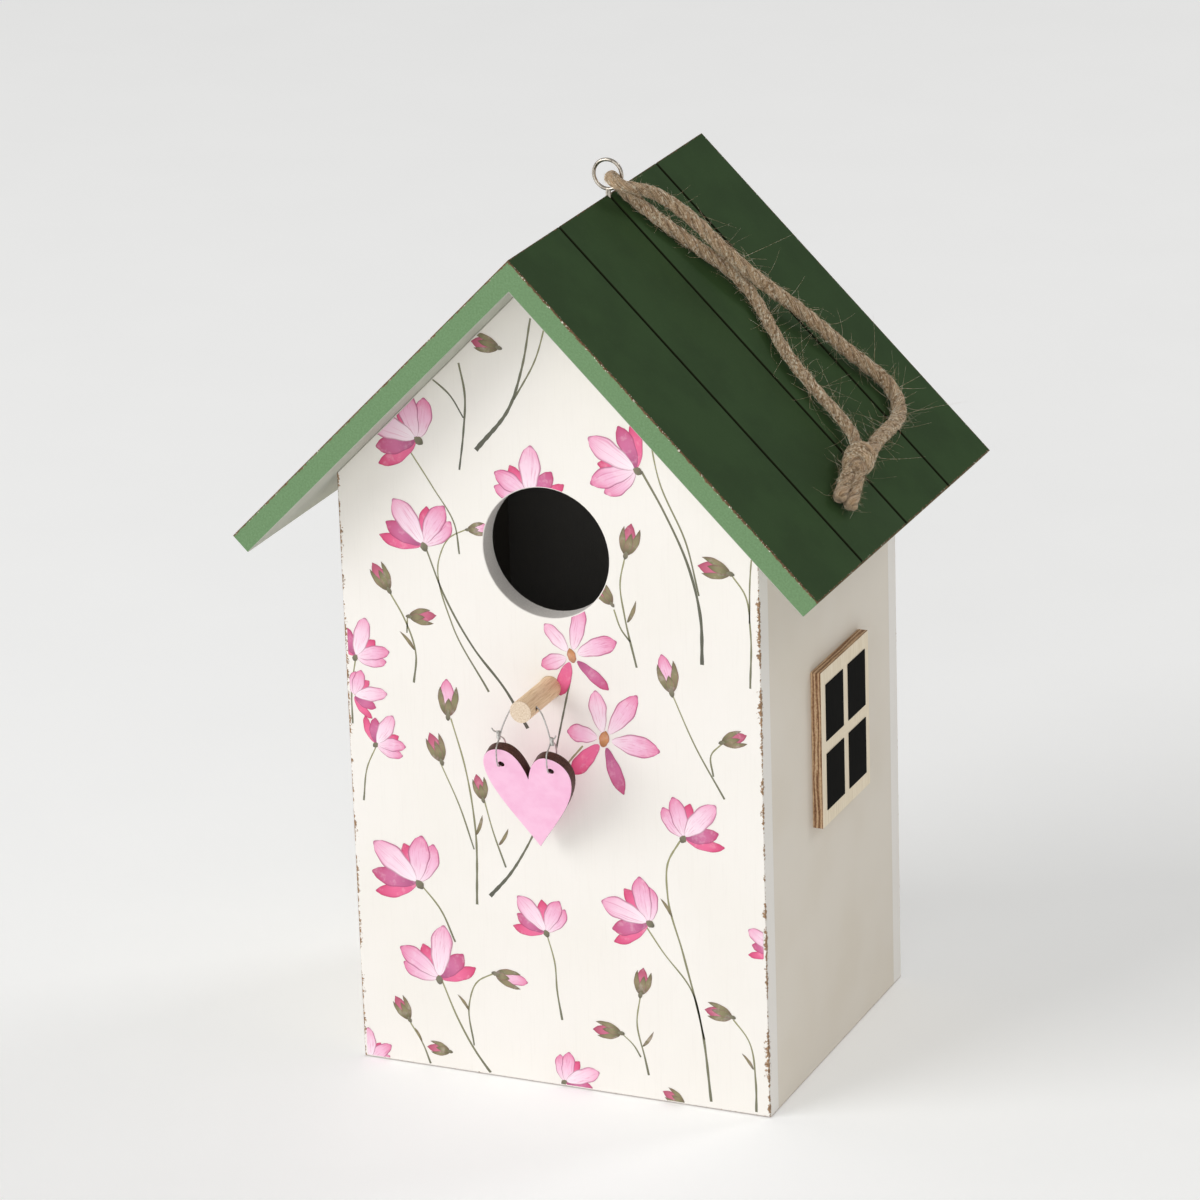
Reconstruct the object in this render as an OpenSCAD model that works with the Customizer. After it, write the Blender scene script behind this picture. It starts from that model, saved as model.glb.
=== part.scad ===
// Gabled wooden birdhouse with a two-board roof, an entry hole, a perch that carries a
// hanging heart, a small window plate, a screw eye with a knotted cord loop, and a
// swivelling clean-out hatch in a recessed floor.
// Millimetres. The origin is on the ground straight under the screw eye, +Z is up,
// the front faces -Y and +X is to the right of someone who faces the front.

/* [Body] */
// Width of the body across the front
body_w = 120; // [90:1:200]
// Depth of the body from front face to back face
body_d = 100; // [96:1:180]
// Height of the side walls at their outer face
side_h = 169; // [165:1:240]
// Thickness of the wall panels
wall = 6; // [4:0.5:10]

/* [Roof] */
// Slope of each roof board in degrees
pitch = 45; // [35:1:50]
// Thickness of the roof boards
roof_t = 6; // [4:0.5:12]
// Length of a roof board from ridge to eave
slope_len = 117.5; // [110:0.5:180]
// How far the roof reaches past the front panel
front_overhang = 17; // [8:1:30]
// How far the roof reaches past the back panel
back_overhang = 13; // [5:1:30]
// Number of planks that the scored grooves divide each board into
planks = 4; // [2:2:8]
// Width of a scored groove
groove_w = 0.8; // [0.5:0.1:2]
// Depth of a scored groove
groove_depth = 0.8; // [0.4:0.1:2]

/* [Entry hole and perch] */
// Diameter of the entry hole
hole_d = 36; // [26:0.5:40]
// Height of the entry hole's centre
hole_z = 153; // [145:1:160]
// Diameter of the perch dowel
perch_d = 6; // [5:0.5:10]
// How far the perch stands out of the front panel
perch_len = 19.5; // [15:0.5:24]
// Height of the perch's centre
perch_z = 115.5; // [105:0.5:118]

/* [Heart] */
// Thickness of the heart
heart_t = 3; // [2:0.5:4]
// How far the heart's tip leans back towards the front panel, in degrees
heart_lean = 23; // [0:1:24]
// How far the heart is turned in its own plane, in degrees
heart_roll = 4; // [0:1:6]
// Distance between the heart's two hanging holes
heart_holes = 14.4; // [12:0.1:16]
// Diameter of the heart's hanging holes
heart_hole_d = 1.8; // [1.6:0.1:2.2]
// Diameter of the heart's wire
wire_d = 0.4; // [0.3:0.05:0.6]
// Diameter of the cross hole in the perch
cross_hole_d = 0.9; // [0.7:0.1:1.4]
// Distance of the cross hole from the perch's front end
cross_hole_in = 3.7; // [2.5:0.1:5]
// Drop from the cross hole to the heart's hanging holes
hanger_drop = 15.8; // [15:0.1:20]

/* [Window] */
// Width of the window plate
window_w = 35.5; // [25:0.5:60]
// Height of the window plate
window_h = 44.5; // [30:0.5:70]
// Thickness of the window plate
window_t = 3; // [2:0.5:5]
// Distance of the window's centre behind the front face
window_y = 52.5; // [40:0.5:60]
// Height of the window's centre
window_z = 92.3; // [60:0.1:110]
// Width of the bar between the panes
mullion = 3.6; // [2:0.1:6]
// Width of the plate's border beside the panes
side_border = 3.1; // [2:0.1:8]
// Height of the plate's border above and below the panes
end_border = 4.3; // [2:0.1:10]

/* [Screw eye and cord] */
// Outer diameter of the screw eye's ring
eye_d = 9; // [8.5:0.1:12]
// Wire diameter of the screw eye
eye_wire = 1; // [0.8:0.1:1.5]
// Height of the ring's centre above the ridge
eye_up = 5.5; // [5:0.1:8]
// Length of the screw that is driven into the ridge
eye_screw = 7.5; // [5:0.5:8]
// Diameter of the cord
cord_d = 3.6; // [3:0.1:4]

/* [Floor and hatch] */
// Thickness of the floor panel
floor_t = 6; // [4:0.5:10]
// Height of the floor's underside above the ground
floor_up = 8; // [8:0.5:15]
// Diameter of the clean-out hole in the floor
cleanout_d = 30; // [20:1:34]
// Thickness of the hatch plate
hatch_t = 3; // [2:0.5:4]
// How far the hatch covers past the hole's edge
hatch_lap = 3; // [2:0.5:6]
// Diameter of the hatch's pivot screw
hatch_screw_d = 3; // [2.5:0.5:4]

/* [Brads] */
// Diameter of the brads
brad_d = 1.2; // [1:0.1:1.6]
// Length of the brads
brad_len = 18; // [15:1:20]
// Depth of the filler over each brad's head
brad_set = 0.6; // [0.4:0.1:1]

/* [Hidden] */
$fn = 64;

// Overshoot of a cut past the face it goes through
cut = 1;
// Gap between faces that slide on each other
slide_gap = 0.2;
// Radial clearance of the hatch on its screw
pivot_gap = 0.08;

// Body
roof_len = front_overhang + body_d + back_overhang;
front_y = front_overhang - roof_len / 2;
back_y = front_y + body_d;
half_w = body_w / 2;
inner_w = body_w - 2 * wall;
inner_d = body_d - 2 * wall;
mid_y = (front_y + back_y) / 2;
under_ridge_z = side_h + half_w * tan(pitch);
ridge_z = under_ridge_z + roof_t / cos(pitch);

// Perch and what hangs on it
perch_tip_y = front_y - perch_len;
hanger_y = perch_tip_y + cross_hole_in;
heart_z = perch_z - hanger_drop;

// Screw eye
eye_z = ridge_z + eye_up;
eye_r = (eye_d - eye_wire) / 2;
eye_shank_d = 1.4 * eye_wire;

// Hatch
floor_top = floor_up + floor_t;
cleanout_x = 3;
pivot_in = 6;
pivot_x = cleanout_x - cleanout_d / 2 - 4 - hatch_screw_d;
hatch_end_x = cleanout_x + cleanout_d / 2 + hatch_lap;
hatch_w = cleanout_d + 2 * hatch_lap;
hatch_corner = 10;
hatch_top = floor_up - slide_gap;
screw_head_d = 2 * hatch_screw_d;
screw_head_t = 1.8;
screw_in_floor = 0.75 * floor_t;

// The gabled outline of the front and back panels, as x and z
gable = [[-half_w, 0], [half_w, 0], [half_w, side_h], [0, under_ridge_z], [-half_w, side_h]];

// The outline of the right roof board, as x and z: mitred at the ridge, square at the eave
eave = [slope_len * cos(pitch), ridge_z - slope_len * sin(pitch)];
roof_outline = [[0, under_ridge_z], [0, ridge_z], eave,
    eave - roof_t * [sin(pitch), cos(pitch)]];

// A point on the right slope: how far down from the ridge, y, and height above the board
function on_slope(p) = [
    p[0] * cos(pitch) + p[2] * sin(pitch),
    p[1],
    ridge_z - p[0] * sin(pitch) + p[2] * cos(pitch)
];

// The cord's route on the slope, from the knot through the ring and back to the knot
cord_route = [
    [93.8, -0.5, 3.8], [92.6, 2.5, 3.6], [89.5, 5.5, 3.1], [84, 7.5, 2.6], [77, 8, 2.4],
    [69, 8.5, 2.4], [61, 10.5, 2.3], [55, 13.5, 2.2], [49, 16.5, 2.2], [43, 18.5, 2.2],
    [36, 18, 2.2], [28, 14.5, 2.2], [20, 10.5, 2.2], [12, 7, 2.2], [6, 5, 2.2],
    [2, 3.6, 2.4], [-0.5, 2.9, 2.9], [-2.35, 1.6, 3.5], [-2.8, 0, 4.1],
    [-2.35, -1.6, 4.7], [-0.8, -2.7, 5.3], [1.5, -1.8, 5.9], [4, 2, 6.2],
    [8, 8, 6.3], [14, 12, 6.3], [22, 14.5, 6.3], [30, 15.5, 6.3], [38, 17.5, 6.2],
    [46, 22, 5.4], [54, 27.5, 4.5], [63, 32, 3.8], [72, 35.5, 3.2], [79, 39, 2.8],
    [85, 41, 2.6], [90, 39.5, 2.6], [93.5, 35, 2.7], [95, 29, 2.9], [95.4, 22, 3.3],
    [95.6, 15, 3.8], [96.2, 8, 4.4], [97, 3.5, 4.9], [97.6, -0.5, 5.1]
];

// The knot's core and the radius at each of its points, on the slope
knot_core = [[95.6, 2.6, 4.5], [95.8, 1.2, 4.6], [95.9, -0.8, 4.6], [96.1, -3, 4.6],
    [96.5, -6, 4.6], [96.8, -8.8, 4.6], [97, -11, 4.5], [97.2, -12.4, 4.4]];
knot_radii = [2.2, 3.5, 4.1, 4.2, 4.2, 4, 3.2, 2];
// The two cord ends that stand out of the knot, on the slope
cord_ends = [
    [[95.8, -8, 3.6], [97.2, -12, 3.5], [98.8, -17, 3], [100.6, -24, 2.4]],
    [[99.2, -8, 3.8], [100.8, -12, 3.6], [102.4, -16.5, 3], [104.2, -22.5, 2.4]]
];
cord_end_d = 3.2;

// The heart's wire from the perch to its twist: share of the way, and bow outwards
leg_bow = [[0, 0], [0.1, 0.3], [0.4, 0.5], [0.75, 0.3], [0.95, 0]];
leg_top = [perch_d / 2 + 0.6, 0, 0];
leg_foot = [heart_holes / 2 + 0.2, -1.3, 7.3 - hanger_drop];
// Its loop round the heart's edge, as x, y and z from a hanging hole's centre
hole_out = heart_t / 2 + 0.4;
loop_front = -heart_t / 2 - 2.6;
loop_back = heart_t / 2 + 0.9;
wire_loop = [
    [0.1, -2.2, 6.5], [0, loop_front + 0.1, 4.8], [0, loop_front, 2.9],
    [0, loop_front + 0.2, 1.1], [0, loop_front + 0.9, -0.4],
    hole_out * [0, -cos(heart_lean), -sin(heart_lean)], [0, 0, 0],
    hole_out * [0, cos(heart_lean), sin(heart_lean)],
    [0, loop_back, 1.5], [0, loop_back, 2.6], [0.1, loop_back - 0.3, 4.2],
    [0.2, loop_back - 1, 5.6], [0.5, 0.2, 6.6], [0.8, -1, 7.2]
];
twist_r = 0.9;
twist_h = 1.8;
twist_up = 6.7;

// The heart's right half: corners of three curves, as x and z from between its holes
heart_notch = [0, -4.4];
heart_lobe = [6.4, 4.8];
heart_side = [12.6, -2.2];
heart_tip = [0, -29.6];
heart_curves = [
    [heart_notch, [1, 0.8], [3.2, 4.8], heart_lobe],
    [heart_lobe, [10.2, 4.8], [12.6, 1.8], heart_side],
    [heart_side, [12.6, -10.6], [5, -20.4], heart_tip]
];
curve_steps = 14;

// A point on a cubic curve at share t, from its four control points
function on_curve(c, t) = pow(1 - t, 3) * c[0] + 3 * t * pow(1 - t, 2) * c[1]
    + 3 * t * t * (1 - t) * c[2] + pow(t, 3) * c[3];

heart_half = [
    for (c = heart_curves, i = [0 : curve_steps - 1]) on_curve(c, i / curve_steps)
];
heart_outline = concat(
    heart_half,
    [heart_tip],
    [for (i = [len(heart_half) - 1 : -1 : 1]) [-heart_half[i][0], heart_half[i][1]]]
);

function unit(v) = v / norm(v);
function tangent(p, i) = unit(p[min(i + 1, len(p) - 1)] - p[max(i - 1, 0)]);
function across(n, t) = unit(n - (n * t) * t);

// One normal for each point of a route, carried along it without twist
function normals(p, first) = [
    for (i = 0, n = across(first, tangent(p, 0)); i < len(p);
        i = i + 1, n = i < len(p) ? across(n, tangent(p, i)) : n) n
];

// A tube swept along a route's points: a ring at each point, and flat ends. The radius is
// one number, or a list with one for each point.
module tube(route, r, sides, first) {
    n = normals(route, first);
    last = (len(route) - 1) * sides;
    rings = [
        for (i = [0 : len(route) - 1], k = [0 : sides - 1])
            let (a = 360 * k / sides, side = cross(tangent(route, i), n[i]))
                route[i] + (is_list(r) ? r[i] : r) * (cos(a) * n[i] + sin(a) * side)
    ];
    walls = [
        for (i = [0 : len(route) - 2], k = [0 : sides - 1], half = [0, 1])
            let (a = i * sides + k, b = i * sides + (k + 1) % sides)
                half == 0 ? [a, a + sides, b + sides] : [a, b + sides, b]
    ];
    caps = [[for (k = [0 : sides - 1]) k], [for (k = [sides - 1 : -1 : 0]) last + k]];
    polyhedron(points = rings, faces = concat(walls, caps));
}

// An upright outline given as x and z, filled from y to y + depth
module upright(outline, y, depth) {
    translate([0, y + depth, 0])
        rotate([90, 0, 0])
            linear_extrude(depth)
                polygon(outline);
}

// A round bar from one point to another
module bar(from, to, d) {
    v = to - from;
    translate(from)
        rotate([0, acos(v[2] / norm(v)), atan2(v[1], v[0])])
            cylinder(h = norm(v), d = d);
}

// Brads that join the front and back panels to the side walls
module wall_brad_set() {
    for (x = [-1, 1] * (half_w - wall / 2), z = [0.12, 0.5, 0.88] * side_h) {
        bar([x, front_y + brad_set, z], [x, front_y + brad_set + brad_len, z], brad_d);
        bar([x, back_y - brad_set, z], [x, back_y - brad_set - brad_len, z], brad_d);
    }
}

// Brads that join the side walls to the floor panel
module floor_brad_set() {
    z = floor_up + floor_t / 2;
    for (side = [-1, 1], y = [mid_y - 0.3 * inner_d, mid_y + 0.3 * inner_d])
        bar([side * (half_w - brad_set), y, z],
            [side * (half_w - brad_set - brad_len), y, z], brad_d);
}

// Brads that join the roof boards to the gables
module roof_brad_set() {
    for (side = [0, 1], down = [0.2, 0.62] * slope_len,
            y = [front_y + wall / 2, back_y - wall / 2])
        mirror([side, 0, 0])
            bar(on_slope([down, y, -brad_set]),
                on_slope([down, y, -brad_set - brad_len]), brad_d);
}

module front_panel() {
    color("#f4efe6")
        difference() {
            upright(gable, front_y, wall);
            bar([0, front_y - cut, hole_z], [0, front_y + wall + cut, hole_z], hole_d);
            bar([0, front_y - cut, perch_z], [0, front_y + wall + cut, perch_z], perch_d);
            wall_brad_set();
            roof_brad_set();
        }
}

module back_panel() {
    color("#efe9df")
        difference() {
            upright(gable, back_y - wall, wall);
            wall_brad_set();
            roof_brad_set();
        }
}

// A side wall on the right, bevelled on top to meet the roof board
module side_wall() {
    in_x = half_w - wall;
    upright([[in_x, 0], [half_w, 0], [half_w, side_h], [in_x, side_h + wall * tan(pitch)]],
        front_y + wall, inner_d);
}

module left_wall() {
    color("#efe9df")
        difference() {
            mirror([1, 0, 0]) side_wall();
            wall_brad_set();
            floor_brad_set();
        }
}

module right_wall() {
    color("#efe9df")
        difference() {
            side_wall();
            wall_brad_set();
            floor_brad_set();
        }
}

module floor_panel() {
    color("#c9ad84")
        difference() {
            translate([-inner_w / 2, front_y + wall, floor_up])
                cube([inner_w, inner_d, floor_t]);
            translate([cleanout_x, mid_y, floor_up - cut])
                cylinder(h = floor_t + 2 * cut, d = cleanout_d);
            hatch_screw_body();
            floor_brad_set();
        }
}

// The right roof board with its scored grooves
module roof_board() {
    difference() {
        upright(roof_outline, -roof_len / 2, roof_len);
        for (i = [1 : planks - 1])
            translate([0, (i / planks - 0.5) * roof_len - groove_w / 2, ridge_z])
                rotate([0, pitch, 0])
                    translate([-roof_t, 0, -groove_depth])
                        cube([slope_len + 2 * roof_t, groove_w, groove_depth + cut]);
        eye_shank();
        roof_brad_set();
    }
}

module roof_left() {
    color("#3a5231") mirror([1, 0, 0]) roof_board();
}

module roof_right() {
    color("#3a5231") roof_board();
}

module perch() {
    color("#d9b98c")
        difference() {
            bar([0, perch_tip_y, perch_z], [0, front_y + wall, perch_z], perch_d);
            bar([-perch_d, hanger_y, perch_z], [perch_d, hanger_y, perch_z], cross_hole_d);
        }
}

// The straight stem of the screw eye
module eye_shank() {
    bar([0, 0, ridge_z - eye_screw], [0, 0, eye_z - eye_r], eye_shank_d);
}

module screw_eye() {
    color("#b9b4aa") {
        translate([0, 0, eye_z])
            rotate([90, 0, 0])
                rotate_extrude()
                    translate([eye_r, 0])
                        circle(d = eye_wire);
        eye_shank();
    }
}

module hanging_cord() {
    color("#b99a72")
        tube([for (p = cord_route) on_slope(p)], cord_d / 2, 10, [1, 0, 1]);
}

module cord_knot() {
    color("#b99a72") {
        tube([for (p = knot_core) on_slope(p)], knot_radii, 12, [1, 0, 1]);
        for (route = cord_ends)
            tube([for (p = route) on_slope(p)], cord_end_d / 2, 8, [1, 0, 1]);
    }
}

// Half of the wire, from the cross hole's mouth down a leg and round its loop
wire_half = concat(
    [for (b = leg_bow) (1 - b[0]) * leg_top + b[0] * leg_foot + [b[1], 0, 0]],
    [for (p = wire_loop) p + [heart_holes / 2, 0, -hanger_drop]]
);
// The wire's whole route: the left half backwards, the cross hole, and the right half
wire_route = concat(
    [for (i = [len(wire_half) - 1 : -1 : 0]) [-wire_half[i][0], wire_half[i][1], wire_half[i][2]]],
    wire_half
);

module heart_wire() {
    color("#a9a7a2")
        translate([0, hanger_y, perch_z]) {
            tube(wire_route, wire_d / 2, 8, [0, 1, 0]);
            for (side = [-1, 1])
                translate([side * (heart_holes / 2 + 0.45), -1.3, twist_up - hanger_drop])
                    cylinder(h = twist_h, r = twist_r);
        }
}

module heart() {
    color("#f3bcdc")
        translate([0, hanger_y, heart_z])
            rotate([heart_lean, heart_roll, 0])
                difference() {
                    upright(heart_outline, -heart_t / 2, heart_t);
                    for (side = [-1, 1])
                        rotate([0, -heart_roll, 0])
                            translate([side * heart_holes / 2, -heart_t, 0])
                                rotate([-90, 0, 0])
                                    cylinder(h = 2 * heart_t, d = heart_hole_d);
                }
}

module window_plate() {
    color("#d8c19a")
        translate([half_w, front_y + window_y - window_w / 2, window_z - window_h / 2])
            cube([window_t, window_w, window_h]);
}

// Four black panes of thin film on the window plate
module window_panes() {
    film = 0.2;
    pane_w = (window_w - 2 * side_border - mullion) / 2;
    pane_h = (window_h - 2 * end_border - mullion) / 2;
    color("#1d1c1a")
        for (side = [-1, 1], end = [-1, 1])
            translate([
                half_w + window_t,
                front_y + window_y + side * (mullion + pane_w) / 2 - pane_w / 2,
                window_z + end * (mullion + pane_h) / 2 - pane_h / 2
            ])
                cube([film, pane_w, pane_h]);
}

module hatch() {
    corner = hatch_corner;
    x0 = pivot_x - pivot_in;
    x1 = hatch_end_x;
    y1 = hatch_w / 2;
    color("#c9ad84")
        translate([0, mid_y, hatch_top - hatch_t])
            difference() {
                linear_extrude(hatch_t)
                    polygon([[x0, corner - y1], [x0 + pivot_in, -y1], [x1 - corner, -y1],
                        [x1, corner - y1], [x1, y1 - corner], [x1 - corner, y1],
                        [x0 + pivot_in, y1], [x0, y1 - corner]]);
                translate([pivot_x, 0, -cut])
                    cylinder(h = hatch_t + 2 * cut, d = hatch_screw_d + 2 * pivot_gap);
            }
}

// The pivot screw: a round head under the hatch and a plain shank up into the floor
module hatch_screw_body() {
    head_top = hatch_top - hatch_t - slide_gap;
    translate([pivot_x, mid_y, head_top - screw_head_t])
        cylinder(h = screw_head_t, d = screw_head_d);
    translate([pivot_x, mid_y, head_top - screw_head_t / 2])
        cylinder(h = floor_up + screw_in_floor - head_top + screw_head_t / 2,
            d = hatch_screw_d);
}

module hatch_screw() {
    slot_w = 0.8;
    slot_depth = 0.9;
    color("#a9a7a2")
        difference() {
            hatch_screw_body();
            translate([pivot_x - screw_head_d, mid_y - slot_w / 2,
                    hatch_top - hatch_t - slide_gap - screw_head_t - slot_depth])
                cube([2 * screw_head_d, slot_w, 2 * slot_depth]);
        }
}

module wall_brads() {
    color("#a9a7a2") wall_brad_set();
}

module floor_brads() {
    color("#a9a7a2") floor_brad_set();
}

module roof_brads() {
    color("#a9a7a2") roof_brad_set();
}

front_panel();
back_panel();
left_wall();
right_wall();
floor_panel();
roof_left();
roof_right();
perch();
screw_eye();
hanging_cord();
cord_knot();
heart_wire();
heart();
window_plate();
window_panes();
hatch();
hatch_screw();
wall_brads();
floor_brads();
roof_brads();
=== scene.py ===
import bpy
import bmesh
import numpy as np
from mathutils import Matrix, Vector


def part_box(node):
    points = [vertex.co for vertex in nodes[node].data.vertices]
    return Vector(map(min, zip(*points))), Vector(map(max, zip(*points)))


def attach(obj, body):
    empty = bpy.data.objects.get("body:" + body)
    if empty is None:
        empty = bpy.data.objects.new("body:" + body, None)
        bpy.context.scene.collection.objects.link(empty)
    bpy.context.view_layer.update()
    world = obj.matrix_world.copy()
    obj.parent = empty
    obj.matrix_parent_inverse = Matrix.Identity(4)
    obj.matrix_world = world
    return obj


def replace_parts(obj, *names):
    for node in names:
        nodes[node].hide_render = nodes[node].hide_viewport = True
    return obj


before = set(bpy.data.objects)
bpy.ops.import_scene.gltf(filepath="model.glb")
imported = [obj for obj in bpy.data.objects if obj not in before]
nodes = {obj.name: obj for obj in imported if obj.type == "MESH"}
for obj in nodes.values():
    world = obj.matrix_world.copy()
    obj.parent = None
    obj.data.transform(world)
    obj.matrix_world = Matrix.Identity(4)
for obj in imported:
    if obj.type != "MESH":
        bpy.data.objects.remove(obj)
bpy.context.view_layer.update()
mm = 0.001

# The body's own sizes in millimetres, read from the frame
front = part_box("front_panel")
bodyHalf = front[1].x / mm
frontY = front[0].y / mm
gableTop = front[1].z / mm
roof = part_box("roof_right")
ridgeZ = roof[1].z / mm
roofHalf = roof[1].y / mm
slopeLen = roof[1].x / mm * np.sqrt(2)
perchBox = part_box("perch")
perchZ = (perchBox[0].z + perchBox[1].z) / 2 / mm
perchHoleY = perchBox[0].y / mm + 3.7   # the cross hole lies 3.7 mm behind the perch's front end
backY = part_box("back_panel")[1].y / mm
print("stage 1: frame loaded")


def onSlope(points):
    # A point given as distance down the right slope, y, and height above the board, turned by 45
    # degrees about the ridge and moved up to it.
    a, y, h = np.asarray(points, float).T
    return np.stack([(a + h) / np.sqrt(2), y, ridgeZ + (h - a) / np.sqrt(2)], axis=1)


# Camera

camera = {
    "aim": (0.0185, -0.0556, 0.1447),
    "distance": 1.45,
    "azimuth": 23.94,
    "elevation": 19.73,
    "roll": -1.85,
    "lens": 167.4,
}


def show(obj):
    bpy.context.scene.collection.objects.link(obj)


def standAt(obj, right, up, back, spot):
    # The three axes and the place are the columns of the object's matrix
    world = np.eye(4)
    world[:3] = np.stack([right, up, back, spot], axis=1)
    obj.matrix_world = Matrix(world.tolist())
    show(obj)


def placeCamera(c):
    # The view direction from azimuth and elevation; the level axis turned by the roll gives "right"
    az, el, roll = np.radians([c["azimuth"], c["elevation"], c["roll"]])
    forward = np.array([-np.sin(az) * np.cos(el), np.cos(az) * np.cos(el), -np.sin(el)])
    level = np.array([np.cos(az), np.sin(az), 0.0])
    right = np.cos(roll) * level + np.sin(roll) * np.cross(level, forward)
    up = np.cross(right, forward)
    data = bpy.data.cameras.new("camera")
    data.lens = c["lens"]
    obj = bpy.data.objects.new("camera", data)
    standAt(obj, right, up, -forward, np.array(c["aim"]) - c["distance"] * forward)
    bpy.context.scene.camera = obj


placeCamera(camera)


# Meshes

def gridFaces(rows, cols, wrap=False):
    # Quads between neighbouring rows and columns; the last column meets the first one if wrap
    r, c = np.meshgrid(np.arange(rows - 1), np.arange(cols if wrap else cols - 1), indexing="ij")
    a = r * cols + c
    b = r * cols + (c + 1) % cols
    return np.stack([a, b, b + cols, a + cols], axis=-1).reshape(-1, 4)


def outward(verts, faces):
    # The signed volume of the closed shape is the sum of each corner's triple product
    p = verts[faces]
    volume = np.einsum("ij,ij->i", p[:, 0], np.cross(p[:, 1], p[:, 2])).sum()
    volume += np.einsum("ij,ij->i", p[:, 0], np.cross(p[:, 2], p[:, 3])).sum()
    return faces if volume > 0 else faces[:, ::-1]


def addPiece(name, verts, faces, material, body, attributes=None, uv=None, caps=()):
    mesh = bpy.data.meshes.new(name)
    every = [list(f) for f in faces] + [list(f) for f in caps]
    mesh.from_pydata((np.asarray(verts) * mm).tolist(), [], every)
    mesh.polygons.foreach_set("use_smooth", np.ones(len(mesh.polygons), bool))
    for key, values in (attributes or {}).items():
        values = np.asarray(values, float)
        kind = "FLOAT" if values.ndim == 1 else "FLOAT_VECTOR"
        layer = mesh.attributes.new(key, kind, "POINT")
        layer.data.foreach_set("value" if kind == "FLOAT" else "vector", values.ravel())
    if uv is not None:
        corner = np.empty(len(mesh.loops), int)
        mesh.loops.foreach_get("vertex_index", corner)
        layer = mesh.uv_layers.new(name="print")
        layer.data.foreach_set("uv", np.asarray(uv, float)[corner].ravel())
    mesh.update()
    obj = bpy.data.objects.new(name, mesh)
    show(obj)
    mesh.materials.append(material)
    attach(obj, body)
    return obj


def smoothRoute(points, step):
    # A cubic Hermite curve through the points, whose slope at each point is the mean slope of its
    # two chords, walked in equal steps of its length.
    p = np.asarray(points, float)
    t = np.r_[0, np.cumsum(np.linalg.norm(np.diff(p, axis=0), axis=1))]
    slope = np.gradient(p, t, axis=0)
    fine = np.linspace(0, t[-1], len(p) * 40)
    i = np.clip(np.searchsorted(t, fine, side="right") - 1, 0, len(p) - 2)
    gap = (t[i + 1] - t[i])[:, None]
    u = (fine - t[i])[:, None] / gap
    curve = ((2 * u**3 - 3 * u**2 + 1) * p[i] + (u**3 - 2 * u**2 + u) * gap * slope[i]
             + (3 * u**2 - 2 * u**3) * p[i + 1] + (u**3 - u**2) * gap * slope[i + 1])
    s = np.r_[0, np.cumsum(np.linalg.norm(np.diff(curve, axis=0), axis=1))]
    even = np.linspace(0, s[-1], max(3, int(round(s[-1] / step)) + 1))
    return np.stack([np.interp(even, s, curve[:, k]) for k in range(3)], axis=1)


def carriedFrames(path, first=(0.3, 0.2, 1.0)):
    # A normal that is carried from ring to ring without twist, and its partner across the path
    tangent = np.gradient(path, axis=0)
    tangent /= np.linalg.norm(tangent, axis=1)[:, None]
    normal = np.empty_like(path)
    n = np.array(first, float)
    for i, t in enumerate(tangent):
        n = n - (n @ t) * t
        n /= np.linalg.norm(n)
        normal[i] = n
    return tangent, normal, np.cross(tangent, normal)


def endCaps(faces, last, sides):
    # The first and the last ring as two faces that look out the way the tube's own do
    start, stop = list(range(sides)), list(range(last, last + sides))
    return [start, stop[::-1]] if faces[0][1] != 1 else [start[::-1], stop]


def joined(parts):
    # Several shapes as one: the faces and caps of each count on from the vertices before it
    verts, faces, caps, base = [], [], [], 0
    for v, f, c in parts:
        verts.append(v)
        faces.append(f + base)
        caps += (np.asarray(c) + base).tolist()
        base += len(v)
    return np.concatenate(verts), np.concatenate(faces), caps


def sweep(path, radius, sides, first=(0.3, 0.2, 1.0)):
    # Rings round a path: centre plus radius times the cosine and sine of the angle along the two
    # carried normals. The radius is a number, one per ring, or a table of rings by sides.
    _, n, b = carriedFrames(path, first)
    angle = np.arange(sides) * 2 * np.pi / sides
    r = np.broadcast_to(np.asarray(radius, float).reshape(-1, 1) if np.ndim(radius) == 1
                        else radius, (len(path), sides))
    ring = np.cos(angle)[None, :, None] * n[:, None] + np.sin(angle)[None, :, None] * b[:, None]
    verts = (path[:, None] + r[..., None] * ring).reshape(-1, 3)
    faces = outward(verts, gridFaces(len(path), sides, wrap=True))
    return verts, faces, endCaps(faces, (len(path) - 1) * sides, sides)


# Materials

def tint(r, g, b):
    # An 8-bit display colour as the linear colour that a shader takes
    c = np.array([r, g, b]) / 255
    c = np.where(c <= 0.04045, c / 12.92, ((c + 0.055) / 1.055) ** 2.4)
    return (*map(float, c), 1.0)


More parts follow.
